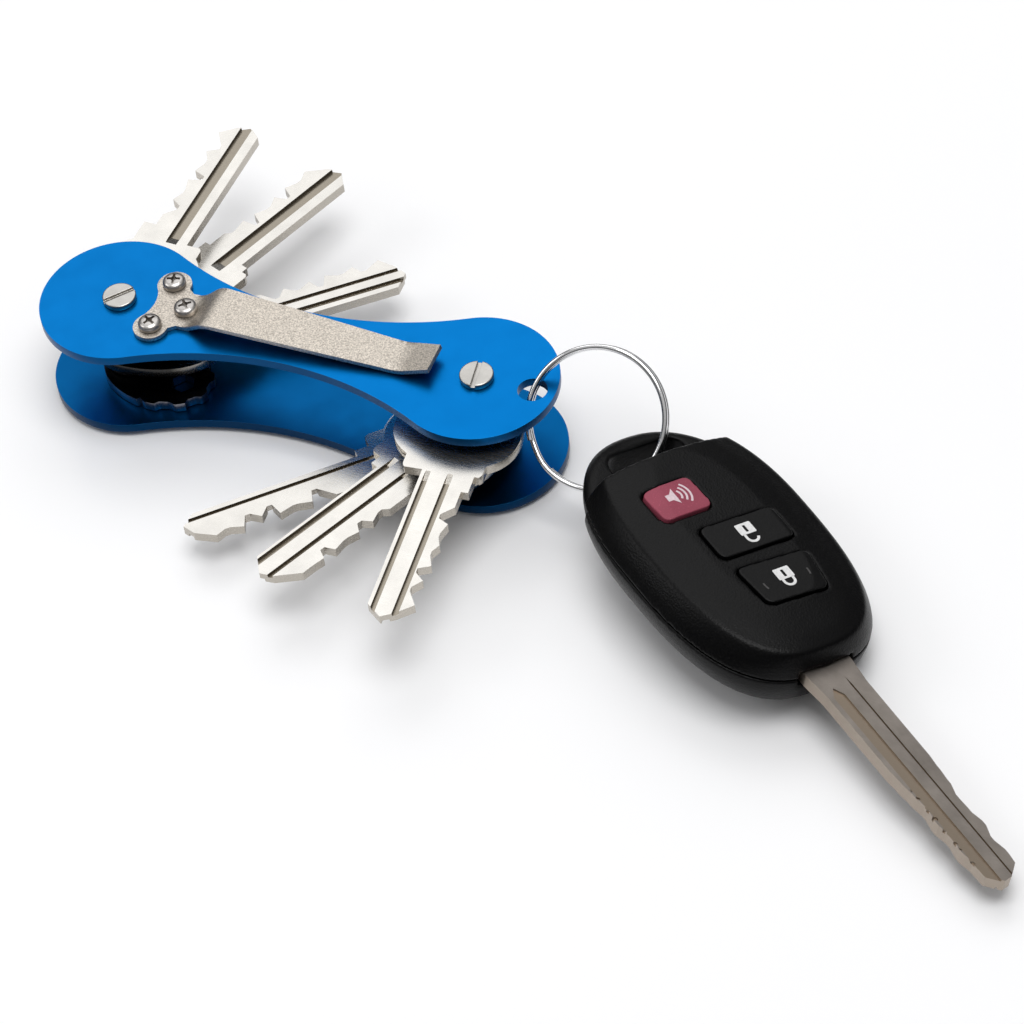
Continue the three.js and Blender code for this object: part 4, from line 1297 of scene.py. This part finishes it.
class ORGANISER_OT_fob_blade(bpy.types.Operator):
    """Builds the car key's blade"""
    bl_idname = "organiser.fob_blade"
    bl_label = "Fob blade"

    def execute(self, context):
        thick = 2.3
        low, high = SPLIT_H - thick / 2, SPLIT_H + thick / 2

        def flank(sign, depths):
            points = []
            for i, depth in enumerate(depths):
                x = 44 - 3.1 * i
                points += [(x + 0.5, sign * (BLADE_HALF - depth)),
                           (x - 0.5, sign * (BLADE_HALF - depth))]
            return points

        right = flank(-1, (1.1, 0.6, 1.0, 0.5, 0.9, 0.5, 0.2, 0))[::-1]
        left = flank(1, (0.7, 1.2, 0.5, 1.0, 1.1, 0.5, 0.3, 0.1))
        outline = [(-11.6, -4.4), (0.6, -4.5), (5.5, -BLADE_HALF), *right, (46.6, -2.8),
                   (48.7, -0.6), (48.4, 0.9), (46.4, 3.1), *left, (5.5, BLADE_HALF), (0.6, 4.5),
                   (-11.6, 4.4)]
        blade = slab("car_key_blade", outline, low, high)
        for face in (1, -1):
            for y, half, start, deep in ((1.25, 0.16, 3.2, 0.5), (-2.05, 1.05, 4.6, 0.35)):
                y *= face
                floor = SPLIT_H + face * (thick / 2 - deep)
                z0, z1 = sorted((floor, floor + face * 2))
                groove = [(start, y), (start + 1.8, y - half), (52, y - half), (52, y + half),
                          (start + 1.8, y + half)]
                blade = cut(blade, slab("groove", groove, z0, z1))
        for k, (step, size) in enumerate(PITS):
            pit = (43.2 - 2.3 * k + step, 0.75 - BLADE_HALF + 0.5 * size)
            blade = cut(blade, turned_at("pit", pit, size, high - 0.7, high + 1, 14))
        blade = soften(clean(blade), 0.08, 40)
        sink_grooves(blade, thick / 2, SPLIT_H)
        # The blade's walls get a painted highlight (wall above one) and its grooves and pits a light
        # painted shade.
        nickel = shared("blade_nickel", brushed, (0.33, 0.295, 0.265, 1), 0.42, turn=36.8,
                        grain=0.003, blotch=0.3, stretch=(1, 12, 12), groove=0.85, wall=1.25)
        hand_over(blade, "fob_body", ["fob_blade"], nickel, fob_placement(), 28)
        return {"FINISHED"}


class ORGANISER_OT_fob_inside(bpy.types.Operator):
    """Gives the parts inside the fob their finish"""
    bl_idname = "organiser.fob_inside"
    bl_label = "Fob inside"

    def execute(self, context):
        rubber = shared("keypad_rubber", textured_plastic, (0.02, 0.02, 0.022, 1), 0.7, 0.02)
        board = shared("board_mask", circuit)
        cell = shared("cell_steel", brushed, (0.6, 0.6, 0.59, 1), 0.25)
        for node, material in (("fob_keypad", rubber), ("fob_circuit_board", board),
                               ("fob_battery", cell)):
            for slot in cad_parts[node].material_slots:
                slot.material = material
        return {"FINISHED"}


# ---- stage --------------------------------------------------------------
def camera_place():
    """Camera position and turn, in metres."""
    azimuth, elevation, roll = (math.radians(v) for v in (27.38, 47.81, -8.0886))
    target = Vector((49.65, -26.37, 18.4))
    distance = 721.5
    back = Vector((math.sin(azimuth) * math.cos(elevation),
                   -math.cos(azimuth) * math.cos(elevation), math.sin(elevation)))
    right = Vector((math.cos(azimuth), math.sin(azimuth), 0))
    up = back.cross(right)
    leaned = right * math.cos(roll) + up * math.sin(roll)
    upright = up * math.cos(roll) - right * math.sin(roll)
    place = Matrix((leaned, upright, back)).transposed().to_4x4()
    place.translation = (LAYOUT @ target + back * distance) * MM
    return place


def soft_light(name, place, target, size, power, colour=(1, 1, 1)):
    light = bpy.data.lights.new(name, "AREA")
    light.shape = "RECTANGLE"
    light.size, light.size_y = size
    light.energy = power
    light.color = colour
    obj = bpy.data.objects.new(name, light)
    obj.location = place
    obj.rotation_euler = (Vector(target) - Vector(place)).to_track_quat("-Z", "Y").to_euler()
    bpy.context.scene.collection.objects.link(obj)


class ORGANISER_OT_stage(bpy.types.Operator):
    """Builds the floor, the soft lights and the camera"""
    bl_idname = "organiser.stage"
    bl_label = "Stage"

    def execute(self, context):
        z = CAD_BOUNDS[0].z / MM - 0.05
        floor = from_faces("stage_floor", [(-3000, -3000, z), (3000, -3000, z), (3000, 3000, z),
                                           (-3000, 3000, z)], [(0, 1, 2, 3)])
        floor.data.transform(Matrix.Scale(MM, 4))
        paint = Paint("stage_acrylic", Roughness=0.22, IOR=1.35)
        cloud = paint.spread(paint.noise(3, 2), 0, 1)
        paint.colour(paint.mix(cloud, (0.93, 0.93, 0.94, 1), (0.96, 0.96, 0.97, 1)))
        floor.data.materials.append(paint.material)

        world = bpy.data.worlds.new("studio")
        world.use_nodes = True
        nodes, links = world.node_tree.nodes, world.node_tree.links
        shade_node = nodes["Background"]
        direction = nodes.new("ShaderNodeTexCoord").outputs["Generated"]
        split = nodes.new("ShaderNodeSeparateXYZ")
        links.new(direction, split.inputs[0])
        ramp = nodes.new("ShaderNodeValToRGB")
        links.new(split.outputs["Z"], ramp.inputs[0])
        stops = ramp.color_ramp.elements
        stops[0].position, stops[0].color = 0.2, (0.02, 0.02, 0.024, 1)
        stops[1].position, stops[1].color = 0.85, (1.0, 1.0, 1.0, 1)
        links.new(ramp.outputs[0], shade_node.inputs["Color"])
        shade_node.inputs["Strength"].default_value = 0.55
        context.scene.world = world

        soft_light("key_light", (-0.35, 0.75, 1.0), (0.02, 0, 0), (1.4, 0.9), 4.6)
        soft_light("side_light", (-0.9, -0.35, 0.8), (0.04, -0.02, 0), (0.5, 0.5), 2.0)
        soft_light("top_light", (0.25, -0.1, 1.3), (0.05, -0.02, 0), (0.8, 0.8), 8.5)

        camera = bpy.data.cameras.new("view")
        camera.sensor_width = 36
        camera.lens = 156.74
        camera.clip_start, camera.clip_end = 0.05, 20
        obj = bpy.data.objects.new("view", camera)
        obj.matrix_world = camera_place()
        context.scene.collection.objects.link(obj)
        context.scene.camera = obj
        context.scene.view_settings.view_transform = "Standard"
        return {"FINISHED"}


OPERATORS = (
    ORGANISER_OT_plates, ORGANISER_OT_posts, ORGANISER_OT_washers, ORGANISER_OT_clip,
    ORGANISER_OT_clip_screws, ORGANISER_OT_keys, ORGANISER_OT_tool, ORGANISER_OT_ring,
    ORGANISER_OT_fob_shells, ORGANISER_OT_fob_buttons, ORGANISER_OT_fob_blade,
    ORGANISER_OT_fob_inside, ORGANISER_OT_stage,
)


class ORGANISER_PT_panel(bpy.types.Panel):
    """Lists the settings and the pieces of the key organiser"""
    bl_idname = "ORGANISER_PT_panel"
    bl_label = "Key Organiser"
    bl_space_type = "VIEW_3D"
    bl_region_type = "UI"
    bl_category = "Organiser"

    def draw(self, context):
        settings = context.scene.organiser
        for group in (settings.plates, settings.steel, settings.keys, settings.ring, settings.fob):
            column = self.layout.column(align=True)
            for key in group.__annotations__:
                column.prop(group, key)
        for operator in OPERATORS:
            self.layout.operator(operator.bl_idname)


CLASSES = (PlateSettings, SteelSettings, KeySettings, RingSettings, FobSettings,
           OrganiserSettings, *OPERATORS, ORGANISER_PT_panel)


def register():
    for item in CLASSES:
        bpy.utils.register_class(item)
    bpy.types.Scene.organiser = bpy.props.PointerProperty(type=OrganiserSettings)


def unregister():
    del bpy.types.Scene.organiser
    for item in reversed(CLASSES):
        bpy.utils.unregister_class(item)


def main():
    register()
    for operator in OPERATORS:
        group, name = operator.bl_idname.split(".")
        getattr(getattr(bpy.ops, group), name)()


if __name__ == "__main__":
    main()
